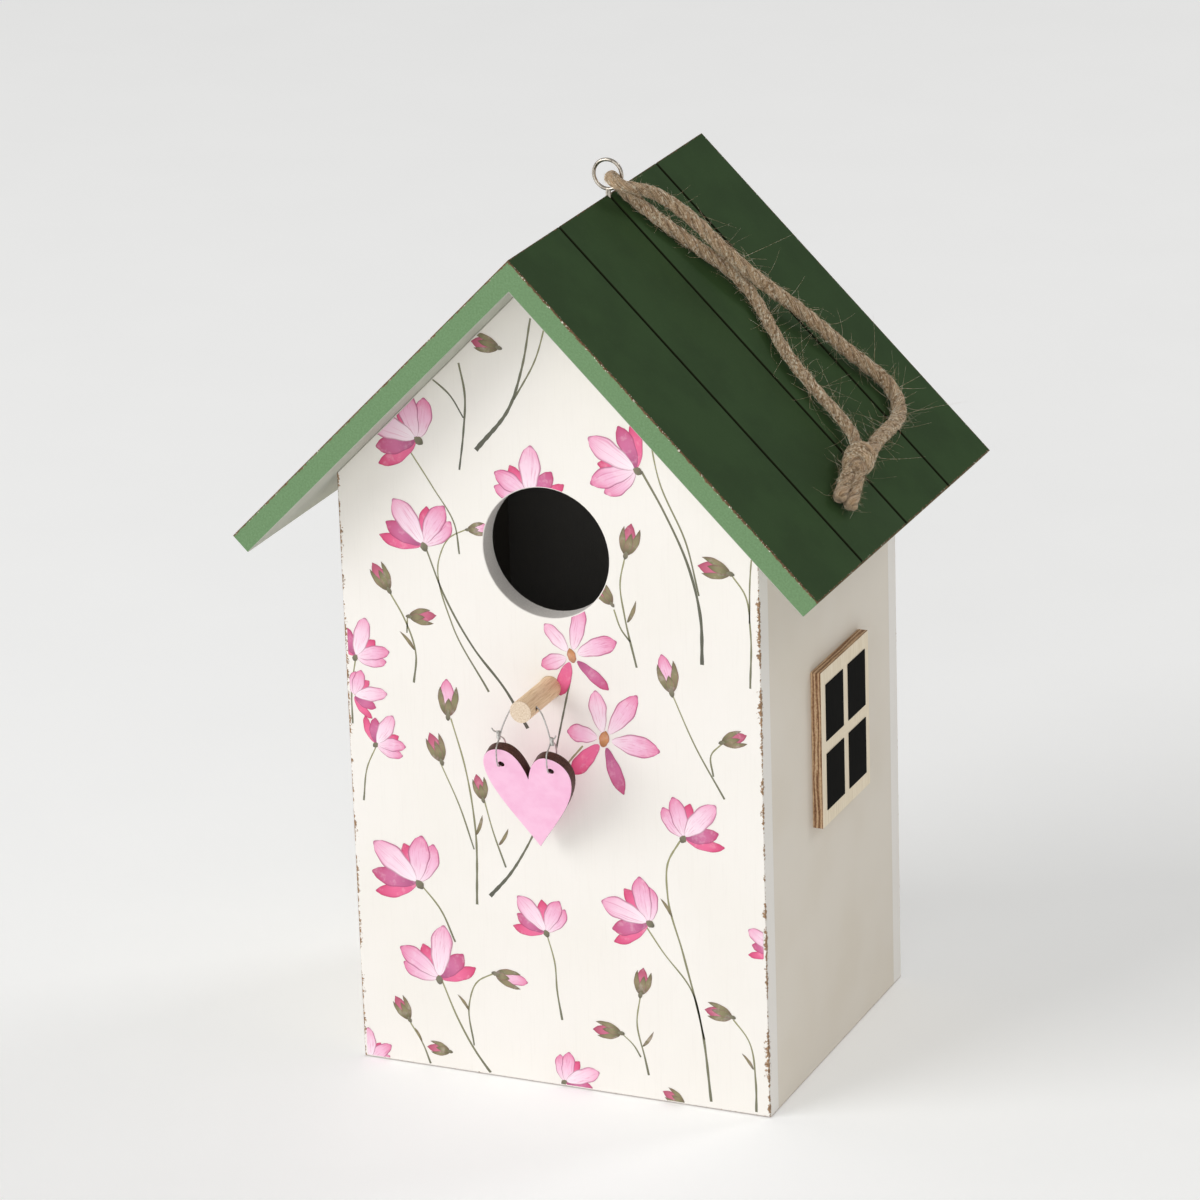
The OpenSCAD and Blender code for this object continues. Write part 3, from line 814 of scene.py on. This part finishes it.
def perchWood():
    r = Recipe("perchWood", 0.5, 0.3)
    vector, x, y, z = r.place()
    grain = r.noise(r.stretch(vector, 3.0, 0.18, 3.0), 1.0, 4.0)
    pores = r.noise(r.stretch(vector, 7.0, 0.6, 7.0), 1.0, 2.0)
    colour = r.ramp(grain, [(0.3, tint(212, 176, 134)), (0.5, tint(236, 205, 165)),
                            (0.75, tint(247, 223, 190))])
    colour = r.mix(r.times(r.band(pores, 0.58, 0.75), 0.4), colour, tint(160, 116, 80))
    cut = r.minus(1.0, r.band(y, perchBox[0].y / mm + 0.1, perchBox[0].y / mm + 0.3))
    ringed = r.noise(r.stretch(vector, 2.6, 0.0, 2.6), 1.0, 4.0, 0.65)
    colour = r.mix(cut, colour, r.ramp(ringed, [(0.35, tint(206, 180, 150)), (0.65, tint(236, 220, 200))]))
    # Darker wood in the cross hole and round its mouth: in the hole it is painted shade
    dy = r.minus(y, perchHoleY)
    dz = r.minus(z, perchZ)
    away = r.math("SQRT", r.plus(r.times(dy, dy), r.times(dz, dz)))
    holeDarkening = r.minus(1.0, r.band(r.plus(away, r.noise(vector, 1.8)), 0.85, 1.4))
    colour = r.mix(holeDarkening, colour, tint(92, 58, 44))
    return r.finish(colour, grain, 0.25, 0.0001)


def heartPaint():
    # Pink paint on both faces, charred brown on the edge, which the rim attribute marks.
    r = Recipe("heartPaint", 0.5, 0.2)
    vector = r.place()[0]
    edge = r.attribute("rim", "Fac")
    cloud = r.noise(vector, 0.2, 3.0)
    pink = r.mix(r.band(cloud, 0.35, 0.7), tint(250, 198, 226), tint(246, 186, 218))
    burnt = r.ramp(r.noise(r.stretch(vector, 1.0, 2.4, 1.0), 1.6, 4.0, 0.7),
                   [(0.3, tint(44, 26, 24)), (0.6, tint(92, 58, 50)), (0.8, tint(136, 96, 78))])
    return r.finish(r.mix(edge, pink, burnt), r.noise(vector, 2.4, 3.0), 0.25, 0.0001)


def plywood():
    # Birch face with long grain; the edge shows its layers across the thickness and rough fibres.
    r = Recipe("plywood", 0.6, 0.25)
    vector = r.place()[0]
    grain = r.noise(r.stretch(vector, 2.0, 2.0, 0.12), 1.0, 4.0)
    face = r.ramp(grain, [(0.3, tint(232, 216, 188)), (0.55, tint(245, 231, 205)),
                          (0.8, tint(251, 240, 218))])
    layer = r.put("ShaderNodeTexWave", {"Vector": r.stretch(vector, 1, 0.12, 0.12), "Scale": 0.3,
                                        "Distortion": 5.0, "Detail": 4.0, "Detail Scale": 2.5}).outputs[1]
    rough = r.noise(r.stretch(vector, 1.6, 1.0, 1.0), 1.3, 4.0, 0.75)
    side = r.ramp(r.plus(r.times(layer, 0.35), r.times(rough, 0.7)),
                  [(0.3, tint(112, 78, 54)), (0.5, tint(170, 130, 96)), (0.72, tint(216, 186, 150))])
    rim = r.attribute("rim", "Fac")
    return r.finish(r.mix(rim, face, side), r.larger(rough, grain), 0.5, 0.00012)


def blackFilm():
    r = Recipe("blackFilm", 0.7, 0.03)
    vector = r.place()[0]
    streak = r.noise(r.stretch(vector, 1.0, 2.5, 0.15), 1.0, 3.0)
    colour = r.ramp(streak, [(0.3, tint(10, 10, 9)), (0.75, tint(22, 21, 18))])
    return r.finish(colour, streak, 0.2, 0.00005)


def metal(name, colour, dark, roughness):
    r = Recipe(name, roughness, 0.5, 1.0)
    vector = r.place()[0]
    spot = r.noise(vector, 1.8, 3.0)
    return r.finish(r.mix(r.band(spot, 0.45, 0.75), colour, dark), r.noise(vector, 5.0, 2.0), 0.2, 0.00003)


def rawBoard():
    r = Recipe("rawBoard", 0.8, 0.15)
    vector = r.place()[0]
    fleck = r.noise(vector, 1.4, 5.0, 0.7)
    tones = [(0.3, tint(120, 86, 56)), (0.5, tint(158, 122, 84)), (0.75, tint(184, 150, 110))]
    return r.finish(r.ramp(fleck, tones), fleck, 0.4, 0.00015)


def heartRim(a, b):
    # The outline's edges: those farther from both hanging holes than their own radius
    holeX, holeZ = wire["holeSpacing"] / 2, perchZ - wire["drop"]
    return both(a, b, lambda p: np.hypot(np.abs(p[:, 0]) - holeX, p[:, 2] - holeZ) > 1.7)


def everyEdge(a, b):
    return np.ones(len(a), bool)


def noEdge(a, b):
    return np.zeros(len(a), bool)


softBoard("perch", "perchDowel", 0.0, noEdge, perchWood())
softBoard("heart", "heartCharm", 0.22, heartRim, heartPaint(), "heart")
softBoard("window_plate", "windowPlate", 0.2, everyEdge, plywood())
softBoard("window_panes", "windowPanes", 0.05, everyEdge, blackFilm())

def heartWireRoute(w):
    # Half of the wire, from the cross hole down its bowed leg and round through the heart's hole
    legTop = np.array([3.6, 0, 0])
    legFoot = np.array([w["holeSpacing"] / 2 + 0.2, -1.3, 7.3 - w["drop"]])
    bow = [(0, 0), (0.1, 0.3), (0.4, 0.5), (0.75, 0.3), (0.95, 0)]
    leg = [(1 - t) * legTop + t * legFoot + np.array([side, 0, 0]) for t, side in bow]
    across = 1.9 * np.array([0, np.cos(np.radians(w["lean"])), np.sin(np.radians(w["lean"]))])
    loop = [(0.1, -2.2, 6.5), (0, -4.0, 4.8), (0, -4.1, 2.9), (0, -3.9, 1.1), (0, -3.2, -0.4),
            -across, (0, 0, 0), across, (0, 2.4, 1.5), (0, 2.4, 2.6), (0.1, 2.1, 4.2), (0.2, 1.4, 5.6),
            (0.5, 0.2, 6.6), (0.8, -1, 7.2)]
    return np.array(leg + [np.array(p) + [w["holeSpacing"] / 2, 0, -w["drop"]] for p in loop])


def heartWirePiece(w):
    # A tube along the route and its mirror image, and on each side two helices about an upright
    # axis, half a turn apart, for the twisted stretch, with a short cut end that stands off.
    half = heartWireRoute(w)
    mirror = half[::-1] * [-1, 1, 1]
    routes = [np.concatenate([mirror, half])]
    for side in (1, -1):
        for phase in (0, np.pi):
            t = np.linspace(0, 1, 60)
            angle = 2 * np.pi * w["coilTurns"] * t + phase
            x = w["holeSpacing"] / 2 + 0.45 + w["coilRadius"] * np.cos(angle)
            y = -1.3 + w["coilRadius"] * np.sin(angle)
            routes.append(np.stack([x * side, y, -w["drop"] + 6.6 + 2.1 * t], 1))
        cut = np.array([(w["holeSpacing"] / 2 + 0.8, -1.4, 8.5), (w["holeSpacing"] / 2 + 1.5, -1.9, 8.9),
                        (w["holeSpacing"] / 2 + 2.0, -2.1, 9.7)]) - [0, 0, w["drop"]]
        routes.append(cut * [side, 1, 1])
    middle = np.array([0, perchHoleY, perchZ])
    verts, faces, caps = joined([sweep(smoothRoute(route + middle, w["step"]), w["radius"], w["sides"],
                                       (0, 1, 0.1)) for route in routes])
    return addPiece("heartWire", verts, faces, steel, "wire", caps=caps)


board = rawBoard()
steel = metal("brightSteel", tint(196, 194, 190), tint(150, 147, 142), 0.32)
nickel = metal("agedNickel", tint(202, 194, 182), tint(120, 108, 96), 0.26)
carried = {"floor_panel": board, "hatch": board, "hatch_screw": steel, "wall_brads": steel,
           "floor_brads": steel, "roof_brads": steel, "screw_eye": nickel}
for name, material in carried.items():
    nodes[name].data.materials.clear()
    nodes[name].data.materials.append(material)
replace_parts(heartWirePiece(wire), "heart_wire")
print("stage 4: small pieces")


# Floral print

# Colours at the root, the middle and the tip of a stroke, and how strongly veins show on it
palettes = {
    "light": [tint(250, 230, 240), tint(244, 192, 218), tint(226, 112, 158), 1.0],
    "pale": [tint(252, 240, 246), tint(248, 216, 232), tint(238, 156, 192), 0.9],
    "deep": [tint(226, 110, 152), tint(236, 112, 154), tint(204, 60, 106), 0.6],
    "violet": [tint(168, 84, 126), tint(208, 116, 158), tint(192, 70, 114), 0.7],
    "sepal": [tint(90, 92, 66), tint(142, 138, 102), tint(98, 94, 68), 0.6],
    "budRed": [tint(150, 82, 98), tint(204, 112, 138), tint(166, 70, 94), 0.6],
    "calyx": [tint(96, 96, 82), tint(122, 120, 98), tint(134, 132, 108), 0.2],
    "centre": [tint(158, 106, 64), tint(208, 152, 102), tint(170, 112, 64), 0.6],
    "stem": [tint(158, 156, 118), tint(138, 136, 106), tint(112, 112, 94), 0.0],
    "stemDark": [tint(132, 130, 106), tint(108, 108, 92), tint(92, 92, 82), 0.0],
}
floral = {
    "gap": 0.02,            # how far the lowest layer of paint stands off the panel
    "layer": 0.006,
    "sideLimit": 59.1,
    "lowLimit": 0.5,
    "gableLimit": 0.6,
    "holeLimit": 18.3,
    "rows": 16,
    "columns": 9,
    "petals": ("light", "pale", "deep", "violet"),
    "petalTip": 0.46,       # smaller is blunter
    "leafTip": 0.62,
}
strokes = []


def stroke(x, z, angle, length, width, palette, bend=0.0, layer=3, widest=1.3):
    strokes.append((x, z, angle, length, width, bend, layer, widest, palette))


def turned(x, z, angle, length):
    return x + length * np.cos(np.radians(angle)), z + length * np.sin(np.radians(angle))


def cupFlower(x, z, axis, size, mirror=1, calyx=True):
    # Petals fan out from one root: turn from the axis, length, width, palette, bend
    fan = [(74, 0.86, 0.26, "deep", -26), (-68, 0.8, 0.34, "light", 24), (48, 0.82, 0.34, "violet", -12),
           (-22, 0.78, 0.3, "deep", 8), (-42, 0.92, 0.4, "light", -14), (12, 1.06, 0.46, "pale", 6)]
    rx, rz = turned(x, z, axis, -0.5 * size)
    for k, (turn, length, width, palette, bend) in enumerate(fan):
        jitter = random.uniform(-5, 5)
        stroke(rx, rz, axis + mirror * turn + jitter, size * length * random.uniform(0.92, 1.06),
               size * width, palette, mirror * bend, 4 + k)
    if calyx:
        stroke(*turned(rx, rz, axis, -0.14 * size), axis, 0.2 * size, 0.15 * size, "calyx", 0, 11, 1.0)
    return rx, rz


def openFlower(x, z, size, lean, squash=1.0):
    fan = [(0, 1.0, 0.42, "light"), (58, 0.98, 0.36, "light"), (104, 0.78, 0.34, "pale"),
           (176, 0.62, 0.36, "light"), (232, 0.84, 0.32, "deep"), (292, 0.98, 0.28, "violet")]
    for k, (turn, length, width, palette) in enumerate(fan):
        angle = np.degrees(np.arctan2(squash * np.sin(np.radians(turn)), np.cos(np.radians(turn)))) + lean
        root = turned(x, z, angle, 0.1 * size)
        stroke(*root, angle, size * length * random.uniform(0.92, 1.05), size * width, palette,
               random.uniform(-16, 16), 4 + k)
    stroke(*turned(x, z, lean + 80, -0.17 * size), lean + 80, 0.34 * size, 0.2 * size, "centre", 0, 11, 1.0)


def bud(x, z, axis, size, rosy=0.5):
    rx, rz = turned(x, z, axis, -0.5 * size)
    stroke(rx, rz, axis + 4, size * (0.92 + 0.2 * rosy), size * 0.44,
           "light" if rosy > 0.8 else "budRed", 0, 4, 1.1)
    stroke(rx, rz, axis + 24, size * 0.9, size * 0.2, "sepal", -34, 5, 0.9)
    stroke(rx, rz, axis - 20, size * 0.96, size * 0.22, "sepal", 30, 6, 0.9)
    stroke(rx, rz, axis - 2, size * (0.86 - 0.34 * rosy), size * 0.24, "sepal", 6, 7, 0.9)
    stroke(*turned(rx, rz, axis, -0.12 * size), axis, 0.26 * size, 0.15 * size, "calyx", 0, 8, 1.0)


# x and z of the middle in millimetres, direction of the axis in degrees, size, mirror
cups = [(-42, 185, 145, 15, 1), (-37.5, 158, 108, 14, 1), (-5, 174, 100, 13, -1),
        (20, 181, 160, 14, -1), (40, 83, 62, 12.5, -1), (-46, 60, 128, 15.5, 1),
        (-37, 33.5, 96, 14, -1), (-6, 50, 112, 11.5, 1), (20.5, 55, 150, 13.5, 1),
        (-54.5, 122, 62, 10.5, 1), (-54, 108, 24, 9, -1), (-48.5, 96, 42, 9.5, 1), (-58, 3, 80, 9, 1),
        (4, 4.5, 40, 10, -1), (60, 52, 130, 9, 1)]
for cup in cups:
    cupFlower(*cup, calyx=cup[3] > 9.2)
openFlower(6.5, 125, 12.5, 25, 0.8)
openFlower(15, 102.5, 14.5, -4)
buds = [(-15, 209, 168, 8, 0.3), (-48, 141, 118, 8.5, 0.4), (-37, 131, 4, 7.5, 0.7),
        (-19.5, 157.5, 8, 6, 0.9), (24, 159, 74, 9, 0.4), (16.5, 143.5, 128, 7, 0.3),
        (48, 154, 168, 9, 0.4), (-30, 108, 86, 9.5, 0.9), (-34, 94, 108, 8.5, 0.4),
        (34, 122.5, 100, 9.5, 1.0), (52, 107, 18, 7.5, 0.4), (-15.5, 29.5, -12, 8.5, 1.0),
        (-47.5, 16, 118, 7.5, 0.4), (-37, 5.5, 172, 6.5, 0.6), (24, 34, 78, 8, 0.4),
        (13.5, 18.5, 176, 8, 0.5), (46, 28.5, 168, 8, 0.3), (32.5, 1.5, 150, 6.5, 0.6),
        (-21.5, 84, 100, 7, 0.6)]
for oneBud in buds:
    bud(*oneBud)

# Stems as points in x and z, the width at both ends, and the palette
stems = [
    ([(-34.5, 150), (-30, 138), (-22, 124), (-13, 113), (-7, 103)], 0.5, 0.95, "stemDark"),
    ([(-39, 178.5), (-32, 168), (-26, 158), (-25, 150)], 0.35, 0.5, "stem"),
    ([(28, 178.5), (34, 168), (41, 152), (43.5, 140), (43.6, 127)], 0.6, 1.0, "stemDark"),
    ([(30, 192), (33, 176), (40, 160), (43.2, 146)], 0.4, 0.5, "stem"),
    ([(-23, 203), (-21.6, 195), (-22.4, 184), (-24, 173.5)], 0.6, 0.5, "stemDark"),
    ([(-31, 198), (-26, 194), (-22.2, 188)], 0.5, 0.45, "stemDark"),
    ([(-2, 217), (-5, 203), (-9, 192), (-19, 179.5)], 0.55, 1.3, "stemDark"),
    ([(3, 219), (-1, 206), (-7.5, 194.5)], 0.4, 0.5, "stem"),
    ([(35, 117.5), (41, 104), (49, 90)], 0.4, 0.6, "stem"),
    ([(48.6, 105.5), (45.5, 102), (46, 96)], 0.4, 0.5, "stem"),
    ([(36, 76.5), (32.4, 70), (32, 60), (36, 44), (41, 22), (43, 2)], 0.5, 0.75, "stem"),
    ([(25.5, 50.5), (30, 44), (38, 34), (41.5, 20)], 0.4, 0.5, "stem"),
    ([(50, 27), (54, 22), (56, 10), (56, 1)], 0.4, 0.7, "stem"),
    ([(-41, 54), (-35, 47), (-31, 38)], 0.45, 0.5, "stem"),
    ([(-35.5, 26), (-31, 15), (-26, 6), (-22, 0.6)], 0.5, 0.8, "stem"),
    ([(-19.6, 30.5), (-25, 27), (-27.6, 20), (-26.6, 8)], 0.4, 0.5, "stem"),
    ([(-3.6, 44), (-1.6, 36), (-1.2, 28), (0, 19.5)], 0.4, 0.6, "stem"),
    ([(-4, 78), (-9, 68), (-14, 60), (-20, 53)], 0.5, 1.1, "stemDark"),
    ([(-29.5, 103), (-26, 90), (-23.6, 72), (-24, 50)], 0.45, 0.7, "stem"),
    ([(-33, 89.5), (-28, 78), (-24.2, 66)], 0.4, 0.45, "stem"),
    ([(6, 119), (3.6, 109), (1, 98)], 0.55, 0.45, "stemDark"),
    ([(8.8, 100), (4, 94), (0.6, 88), (-4, 78)], 0.5, 0.6, "stem"),
    ([(52.3, 153), (56, 148), (57.4, 138), (57, 122)], 0.4, 0.6, "stem"),
    ([(59, 165), (57.6, 152), (57.2, 140)], 0.4, 0.45, "stem"),
    ([(22.6, 154.5), (21, 147), (22, 138), (25, 124)], 0.4, 0.65, "stem"),
    ([(19, 139.5), (21, 134), (23.4, 131)], 0.4, 0.45, "stem"),
    ([(-46, 137), (-42, 130), (-39, 120), (-40, 112)], 0.4, 0.6, "stem"),
    ([(-41, 131), (-41.4, 126)], 0.4, 0.4, "stem"),
    ([(-22.4, 157.3), (-28, 154), (-31, 148), (-28, 130), (-18, 112)], 0.35, 0.6, "stem"),
    ([(-57, 117), (-58.6, 108), (-58.8, 98)], 0.4, 0.5, "stem"),
    ([(-52, 92.4), (-55, 86), (-56.6, 76)], 0.35, 0.5, "stem"),
    ([(-45.6, 12), (-42, 6), (-40, 0.6)], 0.4, 0.55, "stem"),
    ([(23.2, 30), (22, 22), (24, 12), (25, 7)], 0.4, 0.6, "stem"),
    ([(17.4, 18.2), (21, 15), (22.8, 12)], 0.35, 0.45, "stem"),
    ([(-20.6, 80.6), (-18.4, 72), (-15, 62)], 0.4, 0.5, "stem"),
]
leaves = [(-39.2, 121, 125, 6.5), (22.5, 136, 62, 7), (-17, 68, 55, 6), (33.2, 54, 118, 6),
          (-23.7, 70, 65, 6.5), (55.6, 13, 122, 5.5), (23.2, 15, 50, 6), (-27.6, 18, 122, 5.5),
          (-42.3, 6.5, 112, 4.5)]
for x, z, angle, length in leaves:
    stroke(x, z, angle, length, length * 0.16, "sepal", 22, 2, 0.8)


def insidePanel(x, z):
    # Inside the side, lower, gable and hole limits of the front panel
    radius = np.hypot(x, z - entry["z"])
    return ((np.abs(x) < floral["sideLimit"]) & (z > floral["lowLimit"]) & (radius > floral["holeLimit"])
            & (np.abs(x) + z < gableTop - floral["gableLimit"]))


def ontoPanel(x, z):
    # A point past a limit moves to it: sideways, up, square to the gable line, or out from the hole
    x = np.clip(x, -floral["sideLimit"], floral["sideLimit"])
    z = np.maximum(z, floral["lowLimit"])
    over = np.maximum(np.abs(x) + z - (gableTop - floral["gableLimit"]), 0) / 2
    x, z = x - np.sign(x) * over, z - over
    dz = z - entry["z"]
    radius = np.maximum(np.hypot(x, dz), 1e-6)
    grow = np.maximum(floral["holeLimit"] / radius, 1)
    return x * grow, entry["z"] + dz * grow


def paintedAt(palette, u, v):
    # The colour along a stroke: root to middle over its first half, middle to tip over its second,
    # with the tip's colour reaching further down both sides
    root, middle, tip = (np.array(c[:3]) for c in palettes[palette][:3])
    first = np.clip(u / 0.5, 0, 1)[..., None]
    second = np.clip((u - 0.5) / 0.5 + 0.45 * np.abs(v) ** 3 - 0.12, 0, 1)[..., None] ** 1.3
    return (root + (middle - root) * first) * (1 - second) + tip * second


def floralPrint(s):
    # Each stroke is a grid of u along and v across. Its spine starts at the root and turns by the
    # bend over its length; its half width is the width times the sine of pi times u to a power, so
    # the power moves the widest place; the two ends keep a little width.
    u = np.linspace(0.015, 0.985, s["rows"])[:, None]
    v = np.linspace(-1, 1, s["columns"])[None]
    sheets = []
    for x, z, angle, length, width, bend, layer, widest, palette in strokes:
        way = np.radians(angle + bend * (u - 0.3))
        stepX, stepZ = np.cos(way) * length / s["rows"], np.sin(way) * length / s["rows"]
        spineX, spineZ = x + np.cumsum(stepX, axis=0), z + np.cumsum(stepZ, axis=0)
        ruffle = 1 + 0.05 * np.sin(8 * u + x) + 0.04 * np.sin(17 * u + z)
        tip = s["petalTip"] if palette in s["petals"] else s["leafTip"]
        half = 0.5 * width * np.sin(np.pi * u**widest) ** tip * ruffle
        tipPull = 0.05 * length * (1 - v**2) * u**4
        gx = spineX - np.sin(way) * half * v + np.cos(way) * tipPull
        gz = spineZ + np.cos(way) * half * v + np.sin(way) * tipPull
        sheets.append((gx, gz, np.broadcast_to(u, gx.shape), np.broadcast_to(v, gx.shape), layer, palette))
    for points, wide0, wide1, palette in stems:
        route = smoothRoute([(x, 0, z) for x, z in points], 1.0)
        along = np.linspace(0, 1, len(route))[:, None]
        t = np.gradient(route, axis=0)
        t /= np.linalg.norm(t, axis=1)[:, None]
        half = 0.5 * (wide0 + (wide1 - wide0) * along**2) \
            * (1 + 0.12 * np.sin(route[:, :1] * 2 + route[:, 2:]))
        across = np.linspace(-1, 1, 3)[None]
        gx = route[:, :1] - t[:, 2:] * half * across
        gz = route[:, 2:] + t[:, :1] * half * across
        sheets.append((gx, gz, np.broadcast_to(along, gx.shape), np.broadcast_to(across, gx.shape),
                       0, palette))
    verts, faces, uv, paint, vein, base = [], [], [], [], [], 0
    for gx, gz, gu, gv, layer, palette in sheets:
        grid = gridFaces(*gx.shape)
        inside = insidePanel(gx, gz).ravel()
        grid = grid[inside[grid].any(axis=1)]
        if not len(grid):
            continue
        used, compact = np.unique(grid, return_inverse=True)
        px, pz = ontoPanel(gx.ravel()[used], gz.ravel()[used])
        y = frontY - s["gap"] - s["layer"] * layer
        verts.append(np.stack([px, np.full(len(px), y), pz], axis=1))
        faces.append(compact.reshape(-1, 4) + base)
        uv.append(np.stack([gu.ravel()[used], gv.ravel()[used] * 0.5 + 0.5], axis=1))
        paint.append(paintedAt(palette, gu.ravel()[used], gv.ravel()[used]))
        vein.append(np.full(len(px), palettes[palette][3]))
        base += len(px)
    verts, faces = np.concatenate(verts), np.concatenate(faces)
    p = verts[faces]
    toBack = np.cross(p[:, 2] - p[:, 0], p[:, 3] - p[:, 1])[:, 1] > 0
    faces[toBack] = faces[toBack][:, ::-1]
    return addPiece("floralPrint", verts, faces, printInk(), "house",
                    {"paint": np.concatenate(paint), "vein": np.concatenate(vein)}, np.concatenate(uv))


def printInk():
    # Printed colour from the paint attribute, streaked along the stroke, darker along its outline,
    # and washed out in soft clouds.
    r = Recipe("printInk", 0.5, 0.25)
    paint = r.attribute("paint", "Color")
    vein = r.attribute("vein", "Fac")
    parts = r.put("ShaderNodeSeparateXYZ", {0: r.spot.outputs["UV"]}).outputs
    u, v = parts[0], parts[1]
    vector = r.place()[0]
    shifted = r.put("ShaderNodeVectorMath", {0: r.stretch(r.spot.outputs["UV"], 2.2, 16, 0),
                                             1: r.stretch(vector, 0.11, 0, 0.11)},
                    operation="ADD").outputs[0]
    streak = r.noise(shifted, 1.0, 3.0, 0.6)
    colour = r.mix(r.times(r.times(r.band(streak, 0.5, 0.72), vein), 0.55), paint,
                   tint(212, 92, 146))
    wash = r.noise(vector, 0.55, 3.0)
    colour = r.mix(r.times(r.times(r.band(wash, 0.5, 0.75), vein), 0.28), colour,
                   tint(253, 232, 242))
    side = r.math("ABSOLUTE", r.minus(r.times(v, 2.0), 1.0))
    line = r.larger(r.band(side, 0.8, 0.97), r.band(u, 0.93, 0.985))
    colour = r.mix(r.times(r.times(line, vein), 0.75), colour, tint(160, 72, 110))
    return r.finish(colour, r.noise(vector, 2.6, 3.0), 0.2, 0.00005)


floralPrint(floral)
print("stage 5: floral print,", len(strokes), "strokes")


# Floor and light

stage = {"floorHalf": 6.0, "floorZ": -0.0002, "world": 0.4, "floorGlow": 0.16}
softboxes = [
    # place in metres, side of the square in metres, watts
    {"name": "keyLight", "at": (-2.15, -2.3, 1.8), "size": 2.4, "power": 65.0},
    {"name": "frontFill", "at": (0.6, -3.0, 0.9), "size": 2.0, "power": 18.0},
    {"name": "backLight", "at": (1.6, 1.8, 1.9), "size": 0.8, "power": 12.0},
]


def makeStage(s):
    h, z = s["floorHalf"], s["floorZ"]
    mesh = bpy.data.meshes.new("floor")
    mesh.from_pydata([(-h, -h, z), (h, -h, z), (h, h, z), (-h, h, z)], [], [(0, 1, 2, 3)])
    obj = bpy.data.objects.new("floor", mesh)
    show(obj)
    r = Recipe("paleFloor", 0.9, 0.1)
    pale = r.mix(r.noise(r.place()[0], 0.02, 2.0), tint(250, 250, 249), tint(247, 247, 246))
    r.feed(r.shader.inputs["Emission Color"], pale)
    r.shader.inputs["Emission Strength"].default_value = s["floorGlow"]
    mesh.materials.append(r.finish(pale))
    world = bpy.data.worlds.new("softWorld")
    world.use_nodes = True
    world.node_tree.nodes["Background"].inputs[0].default_value = (1.0, 1.0, 1.0, 1.0)
    world.node_tree.nodes["Background"].inputs[1].default_value = s["world"]
    bpy.context.scene.world = world


def makeSoftbox(s, target=(0.0, 0.0, 0.12)):
    light = bpy.data.lights.new(s["name"], "AREA")
    light.size = s["size"]
    light.energy = s["power"]
    obj = bpy.data.objects.new(s["name"], light)
    back = np.array(s["at"]) - np.array(target)
    back /= np.linalg.norm(back)
    right = np.cross([0, 0, 1], back)
    right /= np.linalg.norm(right)
    standAt(obj, right, np.cross(back, right), back, s["at"])


makeStage(stage)
for box in softboxes:
    makeSoftbox(box)
bpy.context.scene.view_settings.view_transform = "Standard"
print("stage 6: floor and light")
